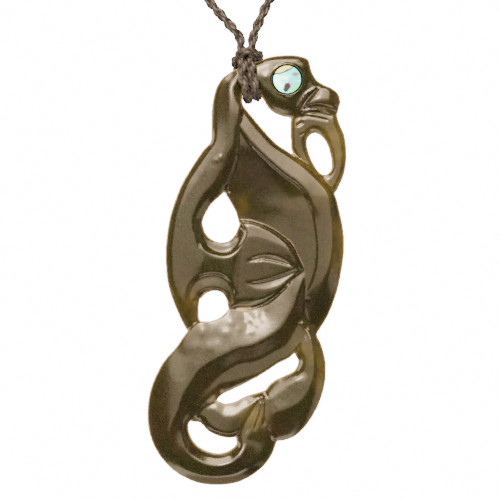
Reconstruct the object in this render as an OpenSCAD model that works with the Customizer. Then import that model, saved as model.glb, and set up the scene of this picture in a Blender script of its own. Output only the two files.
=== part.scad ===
// A pierced greenstone manaia, hung from a waxed neck cord by a lark's head hitch.
// Millimetres. +Z is up and the carving faces -Y. The origin is on the nape of the wearer's neck,
// where the closing knot of the cord rests.

/* [Carving] */
// Height of the carved stone, from the crown of the head to the bottom of the tail loop
jade_h = 75; // [70:0.5:80]
// Depth of the plain back behind the middle plane of the stone
back_d = 2.6; // [2:0.1:2.6]
// Width of the plain bevel that runs round the back's edges
back_bevel = 1.1; // [0.6:0.1:1.5]

/* [Eye] */
// Diameter of the shell disc set in the head
eye_d = 5; // [4:0.1:5.2]
// Thickness of the shell disc at its edge
eye_t = 0.9; // [0.6:0.1:1.1]

/* [Cord] */
// Diameter of the neck cord
cord_d = 1.8; // [1.4:0.1:1.8]
// Diameter of the cord where the hitch pulls it tight
tight_d = 1.7; // [1.4:0.1:1.7]

/* [Closing knot] */
// Diameter of the knot that closes the loop on the nape
knot_d = 5.2; // [4.8:0.1:5.6]
// Length of the knot along the cord
knot_l = 8; // [6:0.5:10]

/* [Hidden] */

// Gap that keeps neighbouring pieces apart
gap = 0.05;
// Height at which the limbs and the hitch below are drawn, and the scale to the real height
drawn_h = 75;
k = jade_h / drawn_h;
// How low the neck cord's ends hang, how high the hitch's flat ends stand above the middle of the stone,
// and where that middle hangs
cord_end_z = -140;
hitch_top_z = 39.95;
jade_at = [0, -108, cord_end_z - gap - hitch_top_z * k];
// Backs of the thinner parts of the carving
head_back = 0.85 * back_d;
lip_back = 0.77 * back_d;
nape_back = 0.7 * back_d;
beak_back = 0.6 * back_d;

// Columns of a limb's table. A row reads across the front of the limb: the outer rim, a crest, a second
// crest and the inner rim. Crests lie at a share of the way across, and heights are above the middle plane.
OUT_X = 0; OUT_Z = 1; OUT_H = 2;
CREST_1 = 3; H_1 = 4;
CREST_2 = 5; H_2 = 6;
IN_H = 7; IN_X = 8; IN_Z = 9;
// A rim lower than this is an open edge of the stone. A higher one is buried in the next limb.
buried_h = 1.65;
// How far an open edge reaches behind the middle plane
edge_back = 1.2;

// The shoulder and the long left arm, down to the waist
ARM = [
    [ -1.5,  35.4, 1.2,  0.45, 2.1,  0.75, 2.1,  1.8,  -0.9,  33.0],
    [ -3.0,  34.6, 1.2,  0.50, 2.6,  0.80, 2.5,  1.8,  -0.8,  31.0],
    [ -4.4,  33.4, 1.2,  0.50, 3.0,  0.80, 2.9,  1.9,  -0.8,  29.0],
    [ -5.4,  31.6, 1.2,  0.45, 3.1,  0.85, 3.1,  2.0,  -1.0,  27.1],
    [ -6.0,  28.7, 1.2,  0.40, 3.2,  0.90, 3.1,  2.0,  -1.4,  25.7],
    [ -6.1,  25.6, 1.2,  0.35, 3.2,  0.75, 3.1,  1.9,  -1.5,  22.9],
    [ -6.2,  22.7, 1.2,  0.35, 3.2,  0.65, 3.1,  1.8,  -1.7,  20.0],
    [ -7.7,  20.9, 1.2,  0.35, 3.1,  0.60, 3.1,  1.8,  -2.4,  17.5],
    [ -9.7,  17.9, 1.2,  0.35, 3.0,  0.60, 3.1,  1.6,  -3.8,  14.2],
    [-11.6,  14.5, 1.2,  0.35, 3.0,  0.60, 3.1,  1.3,  -6.2,  11.7],
    [-13.3,   9.6, 1.2,  0.35, 3.0,  0.62, 3.1,  1.3,  -7.7,   8.8],
    [-14.0,   5.1, 1.2,  0.30, 3.0,  0.75, 3.1,  1.3,  -7.4,   6.8],
    [-14.1,   2.4, 1.2,  0.30, 3.1,  0.70, 3.2,  3.2,  -7.4,   3.3],
    [-13.9,  -0.9, 1.2,  0.30, 3.1,  0.62, 3.2,  3.1,  -7.8,  -0.9],
    [-13.4,  -3.3, 1.2,  0.28, 3.1,  0.55, 3.1,  2.0,  -8.0,  -3.2],
    [-12.7,  -5.4, 1.2,  0.26, 2.9,  0.42, 3.0,  1.3,  -8.3,  -5.4],
    [-11.5,  -8.2, 1.2,  0.30, 2.2,  0.50, 2.3,  1.2,  -8.4,  -8.0],
    [-10.4, -10.3, 1.2,  0.40, 1.9,  0.60, 2.0,  1.2,  -7.6,  -9.6],
];
// The palm, between the two round piercings, dished towards both
PALM = [
    [ -8.6,   7.2, 1.2,  0.28, 2.5,  0.62, 2.5,  1.2,  -9.0,  -5.0],
    [ -7.4,   6.8, 1.3,  0.28, 3.2,  0.62, 3.2,  1.3,  -8.0,  -4.7],
    [ -6.4,   5.7, 1.3,  0.30, 3.2,  0.60, 3.2,  1.3,  -7.1,  -3.9],
    [ -4.7,   5.0, 1.3,  0.33, 3.2,  0.64, 3.2,  1.3,  -5.7,  -3.4],
    [ -3.0,   5.3, 1.3,  0.33, 3.2,  0.72, 3.1,  1.3,  -4.3,  -3.7],
    [ -1.9,   6.5, 1.3,  0.33, 3.2,  0.77, 3.1,  1.3,  -3.4,  -5.0],
    [ -1.3,   7.9, 1.3,  0.32, 3.1,  0.80, 3.0,  1.3,  -3.2,  -6.3],
    [ -1.0,   8.6, 1.6,  0.30, 3.0,  0.80, 2.7,  2.0,  -1.5,  -6.8],
    [  0.1,   8.7, 2.5,  0.20, 3.0,  0.80, 2.5,  2.0,   0.6,  -5.1],
    [  1.0,   7.9, 2.0,  0.20, 2.4,  0.80, 2.2,  1.8,   1.7,  -4.4],
];
// The three leaf-shaped fingers, from the palm to their shared tip
FINGER_UPPER = [
    [ -1.2,   8.6, 2.0,  0.10, 2.6,  0.40, 2.6,  2.4,  -1.5,   1.6],
    [ -0.1,   8.8, 2.2,  0.07, 3.0,  0.38, 2.8,  2.4,  -0.1,   1.6],
    [  2.0,   8.3, 2.2,  0.07, 3.0,  0.40, 2.8,  2.1,   1.7,   2.5],
    [  4.5,   7.3, 2.2,  0.07, 3.0,  0.40, 2.8,  2.1,   3.8,   2.9],
    [  6.6,   5.7, 2.2,  0.07, 3.0,  0.40, 2.8,  2.1,   5.9,   2.5],
    [  8.1,   4.0, 2.2,  0.09, 3.0,  0.42, 2.8,  2.1,   7.6,   1.4],
    [  9.1,   2.1, 2.2,  0.14, 2.9,  0.45, 2.7,  2.1,   8.9,   0.5],
    [  9.8,   0.7, 2.0,  0.30, 2.4,  0.60, 2.3,  2.0,   9.5,   0.1],
];
FINGER_MIDDLE = [
    [ -1.8,   2.6, 2.6,  0.30, 2.9,  0.70, 2.9,  2.6,  -1.8,  -3.3],
    [ -0.1,   1.9, 2.4,  0.15, 3.0,  0.75, 3.0,  2.3,  -0.1,  -2.6],
    [  1.7,   2.8, 2.1,  0.15, 3.0,  0.80, 2.9,  2.1,   2.0,  -2.4],
    [  3.8,   3.2, 2.1,  0.21, 3.0,  0.80, 2.8,  2.1,   4.1,  -2.0],
    [  5.9,   2.8, 2.1,  0.28, 2.9,  0.75, 2.8,  2.1,   6.2,  -1.3],
    [  7.6,   1.7, 2.1,  0.38, 2.7,  0.70, 2.6,  2.1,   8.1,  -0.4],
    [  9.4,   0.4, 2.0,  0.40, 2.3,  0.60, 2.3,  2.0,   9.6,  -0.1],
];
FINGER_LOWER = [
    [ -2.2,  -1.9, 2.6,  0.30, 2.9,  0.75, 2.9,  1.6,  -3.2,  -7.0],
    [ -0.1,  -2.2, 2.3,  0.12, 2.9,  0.75, 2.8,  2.2,  -1.1,  -6.8],
    [  2.0,  -2.1, 1.9,  0.22, 2.9,  0.75, 2.8,  2.2,   1.0,  -6.7],
    [  4.1,  -1.7, 1.9,  0.35, 2.9,  0.78, 2.8,  2.2,   3.2,  -6.0],
    [  6.2,  -1.0, 1.9,  0.45, 2.9,  0.80, 2.7,  2.2,   5.3,  -4.6],
    [  8.1,  -0.1, 1.9,  0.45, 2.7,  0.75, 2.6,  2.2,   7.4,  -2.5],
    [  9.6,   0.4, 1.9,  0.45, 2.3,  0.60, 2.3,  2.0,   9.4,  -0.2],
];
// The sunken chest between the arm and the band, which runs on under the fingers
CHEST = [
    [ -2.2,  28.5, 1.7,  0.30, 1.7,  0.70, 1.7,  1.7,  -0.7,  27.8],
    [ -2.9,  23.8, 1.7,  0.30, 1.7,  0.70, 1.8,  2.4,   1.3,  22.9],
    [ -3.6,  19.4, 1.9,  0.30, 1.8,  0.70, 1.9,  2.4,   5.5,  19.1],
    [ -4.5,  15.9, 2.0,  0.25, 1.9,  0.70, 2.1,  2.5,   9.4,  15.6],
    [ -3.7,  13.7, 1.5,  0.25, 1.9,  0.70, 2.2,  2.6,  11.5,  13.0],
    [ -2.9,  12.3, 1.4,  0.22, 1.9,  0.70, 2.3,  2.7,  12.5,  10.7],
    [ -1.9,  10.5, 1.4,  0.22, 2.0,  0.70, 2.4,  2.7,  13.0,   8.1],
    [ -1.4,   8.8, 1.4,  0.25, 2.0,  0.70, 2.5,  2.7,  13.4,   5.4],
    [ -0.6,   6.3, 1.8,  0.30, 2.0,  0.70, 2.5,  2.7,  13.4,   2.8],
    [ -0.5,   2.8, 1.8,  0.60, 1.9,  0.75, 2.6,  2.6,  13.0,   0.2],
    [ -0.5,  -1.0, 1.8,  0.62, 1.9,  0.78, 2.7,  2.6,  12.3,  -2.6],
    [  0.0,  -5.0, 1.8,  0.60, 2.0,  0.80, 2.5,  2.4,  11.1,  -5.1],
];
// The flat band from the neck across the chest, which becomes the right side of the body
BAND = [
    [ -1.0,  30.0, 1.8,  0.30, 2.2,  0.70, 2.2,  1.8,  -2.6,  28.0],
    [ -0.5,  28.7, 1.8,  0.20, 2.6,  0.80, 2.8,  2.0,  -2.0,  26.6],
    [  0.9,  27.0, 1.7,  0.20, 2.9,  0.90, 3.1,  2.2,  -1.1,  24.7],
    [  2.9,  24.6, 1.7,  0.15, 3.0,  0.93, 3.2,  2.2,   0.8,  22.1],
    [  5.1,  22.3, 1.7,  0.13, 3.1,  0.94, 3.2,  2.3,   3.6,  19.3],
    [  7.6,  20.6, 1.8,  0.12, 3.2,  0.94, 3.2,  2.4,   6.4,  16.8],
    [ 10.4,  18.5, 2.0,  0.12, 3.2,  0.94, 3.2,  2.4,   8.8,  15.1],
    [ 12.9,  16.2, 2.0,  0.13, 3.3,  0.92, 3.1,  2.5,  10.4,  13.3],
    [ 15.2,  13.7, 1.3,  0.18, 3.3,  0.92, 3.0,  2.5,  11.3,  11.2],
    [ 16.2,  10.5, 1.2,  0.30, 3.3,  0.93, 2.8,  2.4,  11.9,   8.8],
    [ 16.9,   6.8, 1.2,  0.42, 3.3,  0.93, 2.8,  2.4,  12.3,   5.8],
    [ 17.0,   3.6, 1.2,  0.48, 3.3,  0.93, 2.8,  2.4,  12.4,   3.2],
    [ 16.5,  -0.2, 1.2,  0.57, 3.3,  0.93, 2.9,  2.4,  12.1,   0.2],
    [ 15.7,  -3.8, 1.2,  0.60, 3.2,  0.93, 2.9,  2.4,  11.1,  -2.5],
    [ 14.3,  -7.5, 1.2,  0.55, 2.9,  0.93, 2.7,  2.2,   9.7,  -5.1],
    [ 12.7, -10.2, 1.2,  0.50, 2.4,  0.90, 2.4,  2.0,   8.7,  -7.9],
    [ 12.0, -11.2, 1.2,  0.50, 2.0,  0.90, 2.0,  1.8,   8.5, -10.0],
];
// The lower body, which sweeps down to the left and turns once round the tail loop
SWEEP = [
    [  9.2,   5.4, 2.4,  0.30, 2.7,  0.70, 2.8,  2.4,  13.2,  -0.7],
    [  9.0,   1.6, 2.4,  0.35, 2.9,  0.65, 2.9,  2.2,  13.2,  -5.1],
    [  8.1,  -1.1, 2.2,  0.45, 3.2,  0.70, 2.6,  2.0,  11.5,  -8.9],
    [  6.6,  -3.1, 2.2,  0.50, 3.4,  0.75, 2.5,  1.8,   9.9, -11.7],
    [  4.3,  -5.0, 2.2,  0.51, 3.4,  0.78, 2.3,  1.5,   7.8, -14.4],
    [  2.0,  -6.1, 2.2,  0.52, 3.4,  0.78, 2.3,  1.4,   5.3, -16.2],
    [ -0.6,  -6.7, 2.2,  0.52, 3.4,  0.75, 2.3,  1.4,   2.4, -18.1],
    [ -2.9,  -6.7, 2.0,  0.50, 3.4,  0.71, 2.4,  1.4,  -0.4, -19.6],
    [ -4.5,  -8.1, 1.6,  0.46, 3.4,  0.69, 2.5,  1.4,  -2.7, -20.7],
    [ -6.4,  -8.8, 1.5,  0.46, 3.4,  0.71, 2.5,  1.4,  -4.3, -21.5],
    [ -8.3,  -8.9, 1.6,  0.48, 3.4,  0.74, 2.5,  1.6,  -5.3, -22.5],
    [-10.5, -10.8, 1.2,  0.50, 3.4,  0.76, 2.5,  1.8,  -6.6, -23.3],
    [-12.3, -13.3, 1.2,  0.52, 3.4,  0.78, 2.5,  1.8,  -7.8, -24.3],
    [-14.8, -16.3, 1.2,  0.60, 3.4,  0.82, 2.6,  1.7,  -9.0, -25.5],
    [-16.7, -20.5, 1.2,  0.70, 3.4,  0.86, 2.8,  1.5, -10.0, -26.3],
    [-17.3, -24.7, 1.2,  0.66, 3.4,  0.87, 2.8,  1.4, -10.2, -27.3],
    [-16.9, -28.4, 1.2,  0.55, 3.3,  0.85, 2.8,  1.4, -10.0, -28.4],
    [-15.4, -31.8, 1.2,  0.40, 3.2,  0.76, 2.8,  1.4,  -9.3, -29.8],
    [-12.8, -34.7, 1.2,  0.30, 3.1,  0.68, 2.8,  1.4,  -8.1, -30.9],
    [ -9.2, -36.7, 1.2,  0.25, 3.0,  0.62, 2.8,  1.4,  -6.6, -31.6],
    [ -5.6, -37.3, 1.2,  0.27, 3.0,  0.60, 2.8,  1.4,  -5.0, -31.9],
    [ -1.8, -36.9, 1.2,  0.28, 3.0,  0.66, 2.8,  1.4,  -3.4, -31.6],
    [  1.4, -35.3, 1.2,  0.30, 3.0,  0.74, 2.7,  1.4,  -2.2, -30.8],
    [  3.8, -33.0, 1.2,  0.28, 2.9,  0.80, 2.6,  1.4,  -1.6, -30.0],
    [  5.1, -30.2, 1.2,  0.25, 2.8,  0.80, 2.6,  1.6,  -1.8, -29.3],
    [  5.3, -27.8, 2.0,  0.30, 2.7,  0.70, 2.6,  2.0,  -1.1, -27.5],
    [  4.6, -24.9, 2.0,  0.30, 2.5,  0.70, 2.4,  2.0,   0.4, -24.7],
    [  3.4, -21.9, 1.7,  0.30, 1.8,  0.70, 1.8,  1.7,   2.4, -21.7],
];
// The tail leaf, between the long slot and the kidney-shaped piercing
TAIL_LEAF = [
    [  3.6, -20.8, 1.3,  0.30, 1.8,  0.70, 1.8,  1.7,   3.2, -22.9],
    [  1.8, -21.3, 1.3,  0.35, 2.5,  0.70, 2.3,  1.8,   1.7, -25.4],
    [ -0.3, -22.0, 1.3,  0.35, 2.7,  0.65, 2.5,  1.8,  -0.3, -27.8],
    [ -2.1, -22.9, 1.3,  0.35, 2.8,  0.65, 2.5,  1.5,  -2.4, -29.0],
    [ -3.8, -23.2, 1.3,  0.35, 2.7,  0.65, 2.5,  1.3,  -4.6, -28.8],
    [ -5.0, -22.8, 1.3,  0.35, 2.4,  0.65, 2.4,  1.3,  -6.6, -27.9],
    [ -6.9, -22.9, 1.7,  0.35, 2.2,  0.65, 2.2,  1.3,  -8.1, -26.4],
    [ -8.8, -24.0, 1.7,  0.40, 2.0,  0.70, 2.0,  1.3,  -9.5, -26.3],
];
// The tail lobe on the right of the long slot
TAIL_LOBE = [
    [ 11.5,  -8.2, 2.0,  0.40, 2.4,  0.70, 2.2,  1.8,   8.3, -10.3],
    [ 12.2, -11.1, 1.2,  0.30, 2.6,  0.70, 2.2,  1.7,   8.5, -13.0],
    [ 13.0, -12.8, 1.2,  0.38, 2.8,  0.70, 2.2,  1.3,   8.8, -14.3],
    [ 13.7, -15.4, 1.2,  0.48, 2.9,  0.75, 2.2,  1.3,   9.3, -15.6],
    [ 13.8, -18.4, 1.2,  0.43, 2.9,  0.70, 2.3,  1.4,   8.4, -17.4],
    [ 13.2, -21.4, 1.2,  0.37, 2.9,  0.70, 2.4,  1.4,   6.7, -18.3],
    [ 12.1, -24.2, 1.2,  0.37, 2.9,  0.70, 2.4,  1.4,   5.0, -19.1],
    [ 10.3, -27.0, 1.2,  0.40, 2.8,  0.75, 2.3,  1.4,   3.8, -20.2],
    [  8.2, -28.9, 1.2,  0.38, 2.7,  0.80, 2.0,  1.5,   3.1, -21.5],
    [  6.0, -29.6, 1.2,  0.35, 2.6,  0.80, 2.2,  1.8,   3.4, -24.3],
    [  4.6, -29.4, 1.7,  0.35, 2.4,  0.80, 2.2,  2.0,   3.4, -27.0],
];
// The bird-like head, from the nape to the brow and the beak
HEAD = [
    [  1.3,  36.3, 1.0,  0.30, 2.0,  0.70, 2.0,  1.2,   1.7,  31.8],
    [  3.0,  37.0, 1.0,  0.27, 2.5,  0.75, 2.5,  1.2,   3.0,  30.0],
    [  4.3,  37.4, 1.0,  0.25, 2.8,  0.75, 2.7,  1.2,   3.5,  29.1],
    [  5.7,  37.6, 1.0,  0.22, 2.9,  0.75, 2.8,  1.2,   4.6,  27.9],
    [  8.0,  37.7, 1.0,  0.22, 3.0,  0.75, 2.8,  1.3,   6.4,  27.1],
    [  9.7,  37.4, 1.0,  0.22, 2.9,  0.75, 2.6,  1.7,   8.1,  26.9],
    [ 10.8,  36.8, 1.0,  0.22, 2.6,  0.75, 2.3,  1.7,   9.7,  26.8],
    [ 11.3,  35.0, 1.0,  0.30, 2.3,  0.75, 2.2,  1.7,  11.3,  26.6],
    [ 12.3,  33.3, 1.0,  0.30, 2.1,  0.75, 2.2,  1.7,  13.0,  26.6],
    [ 14.1,  32.2, 1.0,  0.30, 2.2,  0.70, 2.2,  1.4,  14.6,  26.8],
    [ 15.7,  31.3, 1.0,  0.30, 2.0,  0.70, 2.0,  1.0,  15.7,  27.3],
    [ 16.3,  30.1, 0.9,  0.40, 1.5,  0.60, 1.5,  0.9,  16.1,  28.5],
];
// The narrow bridge under the hitch, between the shoulder and the head
NAPE = [
    [ -2.5,  34.8, 1.2,  0.30, 2.0,  0.70, 2.0,  1.7,  -1.8,  29.5],
    [ -0.8,  35.6, 1.0,  0.30, 2.0,  0.70, 2.0,  1.2,  -0.7,  31.1],
    [  0.4,  36.0, 1.0,  0.30, 2.0,  0.70, 2.0,  1.2,   0.5,  31.1],
    [  1.5,  36.4, 1.0,  0.30, 2.0,  0.70, 2.0,  1.2,   1.8,  31.8],
    [  2.7,  36.9, 1.0,  0.30, 2.2,  0.70, 2.2,  1.2,   2.7,  31.4],
];
// The open beak, one closed ring
BEAK = [
    [ 11.8,  28.5, 0.9,  0.35, 1.9,  0.65, 1.9,  0.9,  12.1,  24.2],
    [ 15.1,  28.2, 0.9,  0.35, 1.9,  0.65, 1.9,  0.9,  13.2,  23.6],
    [ 16.2,  25.7, 0.9,  0.35, 1.9,  0.65, 1.9,  0.9,  14.1,  22.3],
    [ 17.1,  23.5, 0.9,  0.35, 1.9,  0.65, 1.9,  0.9,  14.6,  20.8],
    [ 17.4,  20.7, 0.9,  0.35, 1.9,  0.65, 1.9,  0.9,  14.9,  19.3],
    [ 17.2,  17.9, 0.9,  0.35, 1.9,  0.65, 1.9,  0.9,  14.9,  18.0],
    [ 16.4,  15.5, 0.9,  0.35, 1.9,  0.65, 1.9,  0.9,  14.4,  17.1],
    [ 15.0,  13.5, 0.9,  0.35, 1.9,  0.65, 1.9,  0.9,  13.6,  16.8],
    [ 12.5,  15.2, 0.9,  0.35, 1.9,  0.65, 1.9,  0.9,  12.7,  17.2],
    [  9.5,  18.9, 0.9,  0.35, 1.9,  0.65, 1.9,  0.9,  11.7,  18.6],
    [  8.0,  21.0, 0.9,  0.35, 1.9,  0.65, 1.9,  0.9,  10.9,  20.4],
    [  7.8,  22.7, 0.9,  0.35, 1.9,  0.65, 1.9,  0.9,  10.5,  22.1],
    [  7.7,  24.6, 0.9,  0.35, 1.9,  0.65, 1.9,  0.9,  10.6,  23.2],
    [  8.1,  26.9, 0.9,  0.35, 1.9,  0.65, 1.9,  0.9,  11.3,  24.0],
];
// The swelling of the upper lip, laid over the end of the head
LIP = [
    [ 12.2,  32.0, 1.8,  0.40, 2.5,  0.70, 2.5,  2.0,   9.7,  27.7],
    [ 13.4,  32.4, 1.2,  0.35, 2.8,  0.70, 2.7,  2.0,  11.6,  28.0],
    [ 14.8,  31.9, 1.1,  0.35, 2.8,  0.70, 2.6,  1.8,  13.6,  28.2],
    [ 16.0,  30.8, 1.0,  0.35, 2.5,  0.70, 2.4,  1.7,  15.1,  28.1],
    [ 16.4,  29.4, 0.9,  0.40, 1.8,  0.60, 1.8,  1.0,  15.9,  28.3],
];

// Middle of the shell disc, the height of its rim above the middle plane, and how far it domes
eye_x = 7.1;
eye_z = 33.4;
eye_rim_h = 2.9;
eye_dome = 0.15;
// Depth of the pocket's cut, which clears the head's highest crest
pocket_cut = 3;

// The hitch, from the stone's middle: down the front of the bridge, through the opening, up the back,
// across the front as the bar that grips both strands, and the same way back on the right.
HITCH = [
    [-1.0, -1.2, 39.0], [-0.9, -2.1, 37.4], [-0.8, -2.95, 35.6], [-0.6, -3, 33.2],
    [-0.2, -2.95, 31.6], [0.15, -2.0, 30.3], [0.2, -0.4, 30.0], [0.2, 1.3, 30.1],
    [0.05, 2.9, 31.2], [-0.8, 3.6, 33.2], [-1.5, 3.4, 35.4], [-1.8, 1.9, 37.2],
    [-1.8, -0.6, 37.7], [-1.3, -2.5, 38.1], [0.1, -3.1, 38.3], [1.4, -2.7, 38.4],
    [1.9, -1.2, 38.5], [2.1, 0.8, 38.4], [2.1, 2.7, 37.0], [2.1, 3.4, 34.6],
    [1.7, 3.2, 32.1], [1.4, 1.5, 30.5], [1.4, -0.5, 30.3], [1.5, -2.1, 30.8],
    [1.6, -3, 32.6], [1.2, -2.95, 34.2], [1.0, -2.8, 35.8], [0.95, -2.1, 37.4],
    [1.0, -1.2, 39.0],
];

// The neck cord, from the hitch up the wearer's right side, round the nape and down again
ROUTE = [
    [-1, -109.2, cord_end_z], [-1.3, -109.2, -139], [-3.6, -109, -136.2], [-6.6, -108.6, -132.6],
    [-14, -107, -122], [-27, -103, -99], [-41, -95, -76], [-53, -83, -56],
    [-62, -66, -38], [-63, -35, -18], [-53, -17, -9], [-38, -5, -4], [-19, 1, -1],
    [0, knot_d / 2, 0],
    [19, 1, -1], [38, -5, -4], [53, -17, -9], [63, -35, -18], [62, -66, -38],
    [52, -83, -56], [39, -95, -76], [24, -103, -99], [10, -107, -121],
    [4, -108.6, -132.6], [2.3, -109, -136.2], [1.2, -109.2, -139], [1, -109.2, cord_end_z],
];
// A point well inside the loop, which the cord's rings are turned towards
loop_middle = [0, -50, -60];
cord_sides = 8;
// The knot's bore, which clears the cord where it bends
bore_d = 2.3;

// The curve through four rows, a share t of the way from b to c
function eased(a, b, c, d, t) =
    (2 * b + (c - a) * t + (2 * a - 5 * b + 4 * c - d) * t * t + (3 * b - a - 3 * c + d) * t * t * t) / 2;

// A table's rows with more rows eased in between, `steps` for each
function fine_rows(rows, steps, loop = false) =
    let (n = len(rows), row = function(j) loop ? rows[(j + n) % n] : rows[max(0, min(n - 1, j))])
    concat(
        [for (i = [0 : n - (loop ? 1 : 2)], s = [0 : steps - 1])
            eased(row(i - 1), row(i), row(i + 1), row(i + 2), s / steps)],
        loop ? [] : [rows[n - 1]]
    );

// The corners of a limb across one row: its front from rim to rim, then its plain back
function section(row, back) =
    let (outer = [row[OUT_X], row[OUT_Z]],
         across = [row[IN_X], row[IN_Z]] - outer,
         bevel = min(0.35, back_bevel / norm(across)),
         behind = function(h) h > buried_h ? back : min(back, edge_back),
         at = function(share, y) let (p = outer + share * across) [p.x, y, p.y])
    [
        at(0, -row[OUT_H]), at(row[CREST_1], -row[H_1]), at(row[CREST_2], -row[H_2]), at(1, -row[IN_H]),
        at(1, behind(row[IN_H])), at(1 - bevel, back), at(bevel, back), at(0, behind(row[OUT_H])),
    ];

// A solid skinned over rings of corners, closed on itself if it is a loop
module skinned(rings, loop = false, reversed = false) {
    n = len(rings[0]);
    m = len(rings);
    walls = [for (i = [0 : m - (loop ? 1 : 2)], j = [0 : n - 1])
        let (a = i * n + j, b = i * n + (j + 1) % n,
             c = (i + 1) % m * n + j, d = (i + 1) % m * n + (j + 1) % n)
        each reversed ? [[a, d, b], [a, c, d]] : [[a, b, d], [a, d, c]]];
    first = [for (j = [0 : n - 1]) reversed ? j : n - 1 - j];
    last = [for (j = [0 : n - 1]) (m - 1) * n + (reversed ? n - 1 - j : j)];
    polyhedron([for (r = rings) each r], concat(walls, loop ? [] : [first, last]), convexity = 8);
}

// One limb of the carving, skinned over its table
module limb(rows, back = back_d, steps = 2, loop = false) {
    rings = [for (r = fine_rows(rows, steps, loop)) section(r, back)];
    along = rings[1][0] - rings[0][0] + rings[1][3] - rings[0][3];
    across = rings[0][3] - rings[0][0];
    skinned(rings, loop, reversed = cross(along, across).y > 0);
}

module at_stone() {
    translate(jade_at) children();
}

// The stone: its limbs laid over each other, with the pocket for the eye
module jade_manaia() {
    color("darkolivegreen") at_stone() resize([0, 0, jade_h], auto = true) difference() {
        union() {
            limb(ARM);
            limb(PALM);
            limb(FINGER_UPPER);
            limb(FINGER_MIDDLE);
            limb(FINGER_LOWER);
            limb(CHEST);
            limb(BAND);
            limb(SWEEP);
            limb(TAIL_LEAF);
            limb(TAIL_LOBE);
            limb(HEAD, back = head_back);
            limb(NAPE, back = nape_back);
            limb(BEAK, back = beak_back, loop = true);
            limb(LIP, back = lip_back);
        }
        translate([eye_x, 0, eye_z]) rotate([90, 0, 0])
            translate([0, 0, eye_rim_h - eye_t - gap]) cylinder(d = eye_d + 2 * gap, h = pocket_cut, $fn = 48);
    }
}

// The shell disc, slightly domed, face outwards
module paua_eye() {
    r = eye_d / 2;
    dome_r = (r * r + eye_dome * eye_dome) / (2 * eye_dome);
    color("paleturquoise") at_stone() scale(k) translate([eye_x, 0, eye_z]) rotate([90, 0, 0])
        translate([0, 0, eye_rim_h - eye_t]) intersection() {
            cylinder(d = eye_d, h = eye_t + eye_dome, $fn = 48);
            translate([0, 0, eye_t + eye_dome - dome_r]) sphere(r = dome_r, $fn = 96);
        }
}

// The hitch, a chain of short round lengths of cord pulled tight on the bridge, with flat upper ends
module cord_hitch() {
    points = fine_rows(HITCH, 2);
    end_l = 0.1;
    color("dimgray") at_stone() scale(k) {
        for (i = [0 : len(points) - 2]) hull() {
            translate(points[i]) sphere(d = tight_d, $fn = 10);
            translate(points[i + 1]) sphere(d = tight_d, $fn = 10);
        }
        for (end = [points[0], points[len(points) - 1]]) hull() {
            translate(end) sphere(d = tight_d, $fn = 10);
            translate([end.x, end.y, hitch_top_z - end_l]) cylinder(d = tight_d, h = end_l, $fn = 10);
        }
    }
}

// The neck cord, a round tube swept along its route
module neck_cord() {
    line = fine_rows(ROUTE, 3);
    n = len(line);
    unit = function(v) v / norm(v);
    rings = [for (i = [0 : n - 1])
        let (t = i == 0 ? [0, 0, 1] : i == n - 1 ? [0, 0, -1] : unit(line[i + 1] - line[i - 1]),
             u = unit(cross(t, loop_middle - line[i])), v = cross(u, t))
        [for (j = [0 : cord_sides - 1])
            line[i] + cord_d / 2 * (cos(360 * j / cord_sides) * u + sin(360 * j / cord_sides) * v)]];
    color("dimgray") skinned(rings);
}

// The knot that closes the loop, one plain barrel round the cord
module closing_knot() {
    r = knot_d / 2;
    ease = 1.2;
    corner = [r - ease, knot_l / 2 - ease];
    color("dimgray") translate([0, r, 0]) rotate([0, 90, 0]) rotate_extrude($fn = 48) polygon([
        [bore_d / 2, -knot_l / 2],
        for (a = [-90 : 30 : 0]) [corner.x + ease * cos(a), -corner.y + ease * sin(a)],
        for (a = [0 : 30 : 90]) [corner.x + ease * cos(a), corner.y + ease * sin(a)],
        [bore_d / 2, knot_l / 2],
    ]);
}

jade_manaia();
paua_eye();
cord_hitch();
neck_cord();
closing_knot();
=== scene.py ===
"""A pierced greenstone manaia with a shell eye, hung from a waxed neck cord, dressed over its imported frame."""
import math

import bpy
import numpy as np
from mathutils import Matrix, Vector


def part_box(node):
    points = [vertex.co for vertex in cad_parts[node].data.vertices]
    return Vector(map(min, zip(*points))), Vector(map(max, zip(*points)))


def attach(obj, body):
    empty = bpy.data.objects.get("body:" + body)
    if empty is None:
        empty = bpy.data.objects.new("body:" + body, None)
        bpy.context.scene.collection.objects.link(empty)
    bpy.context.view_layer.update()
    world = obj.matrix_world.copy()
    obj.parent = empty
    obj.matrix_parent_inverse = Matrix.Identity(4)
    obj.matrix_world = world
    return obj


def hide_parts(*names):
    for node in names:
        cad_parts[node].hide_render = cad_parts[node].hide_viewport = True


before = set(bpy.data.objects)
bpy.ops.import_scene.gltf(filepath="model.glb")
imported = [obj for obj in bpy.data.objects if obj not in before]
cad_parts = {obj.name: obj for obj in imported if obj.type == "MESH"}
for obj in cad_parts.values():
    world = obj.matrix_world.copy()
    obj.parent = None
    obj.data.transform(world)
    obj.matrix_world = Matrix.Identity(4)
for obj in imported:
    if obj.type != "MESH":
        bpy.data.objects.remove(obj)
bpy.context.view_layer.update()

# The camera
# The photograph looks straight at the carved front through a long lens, with the stone hanging upright and
# the cord running up out of the picture. The stone's middle is the point that all its own measures start from.
MM = 0.001
BACK_DEPTH = 2.6 * MM
LOWEST = 37.3 * MM
VIEW_WIDTH = 87.5 * MM
VIEW_DISTANCE = 600 * MM
VIEW_ASIDE, VIEW_ABOVE = 0.6 * MM, 3.7 * MM
NEAREST_SEEN, FARTHEST_SEEN = 0.05, 20


def shown(name, data):
    """A new object in the scene."""
    made = bpy.data.objects.new(name, data)
    bpy.context.scene.collection.objects.link(made)
    return made


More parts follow.
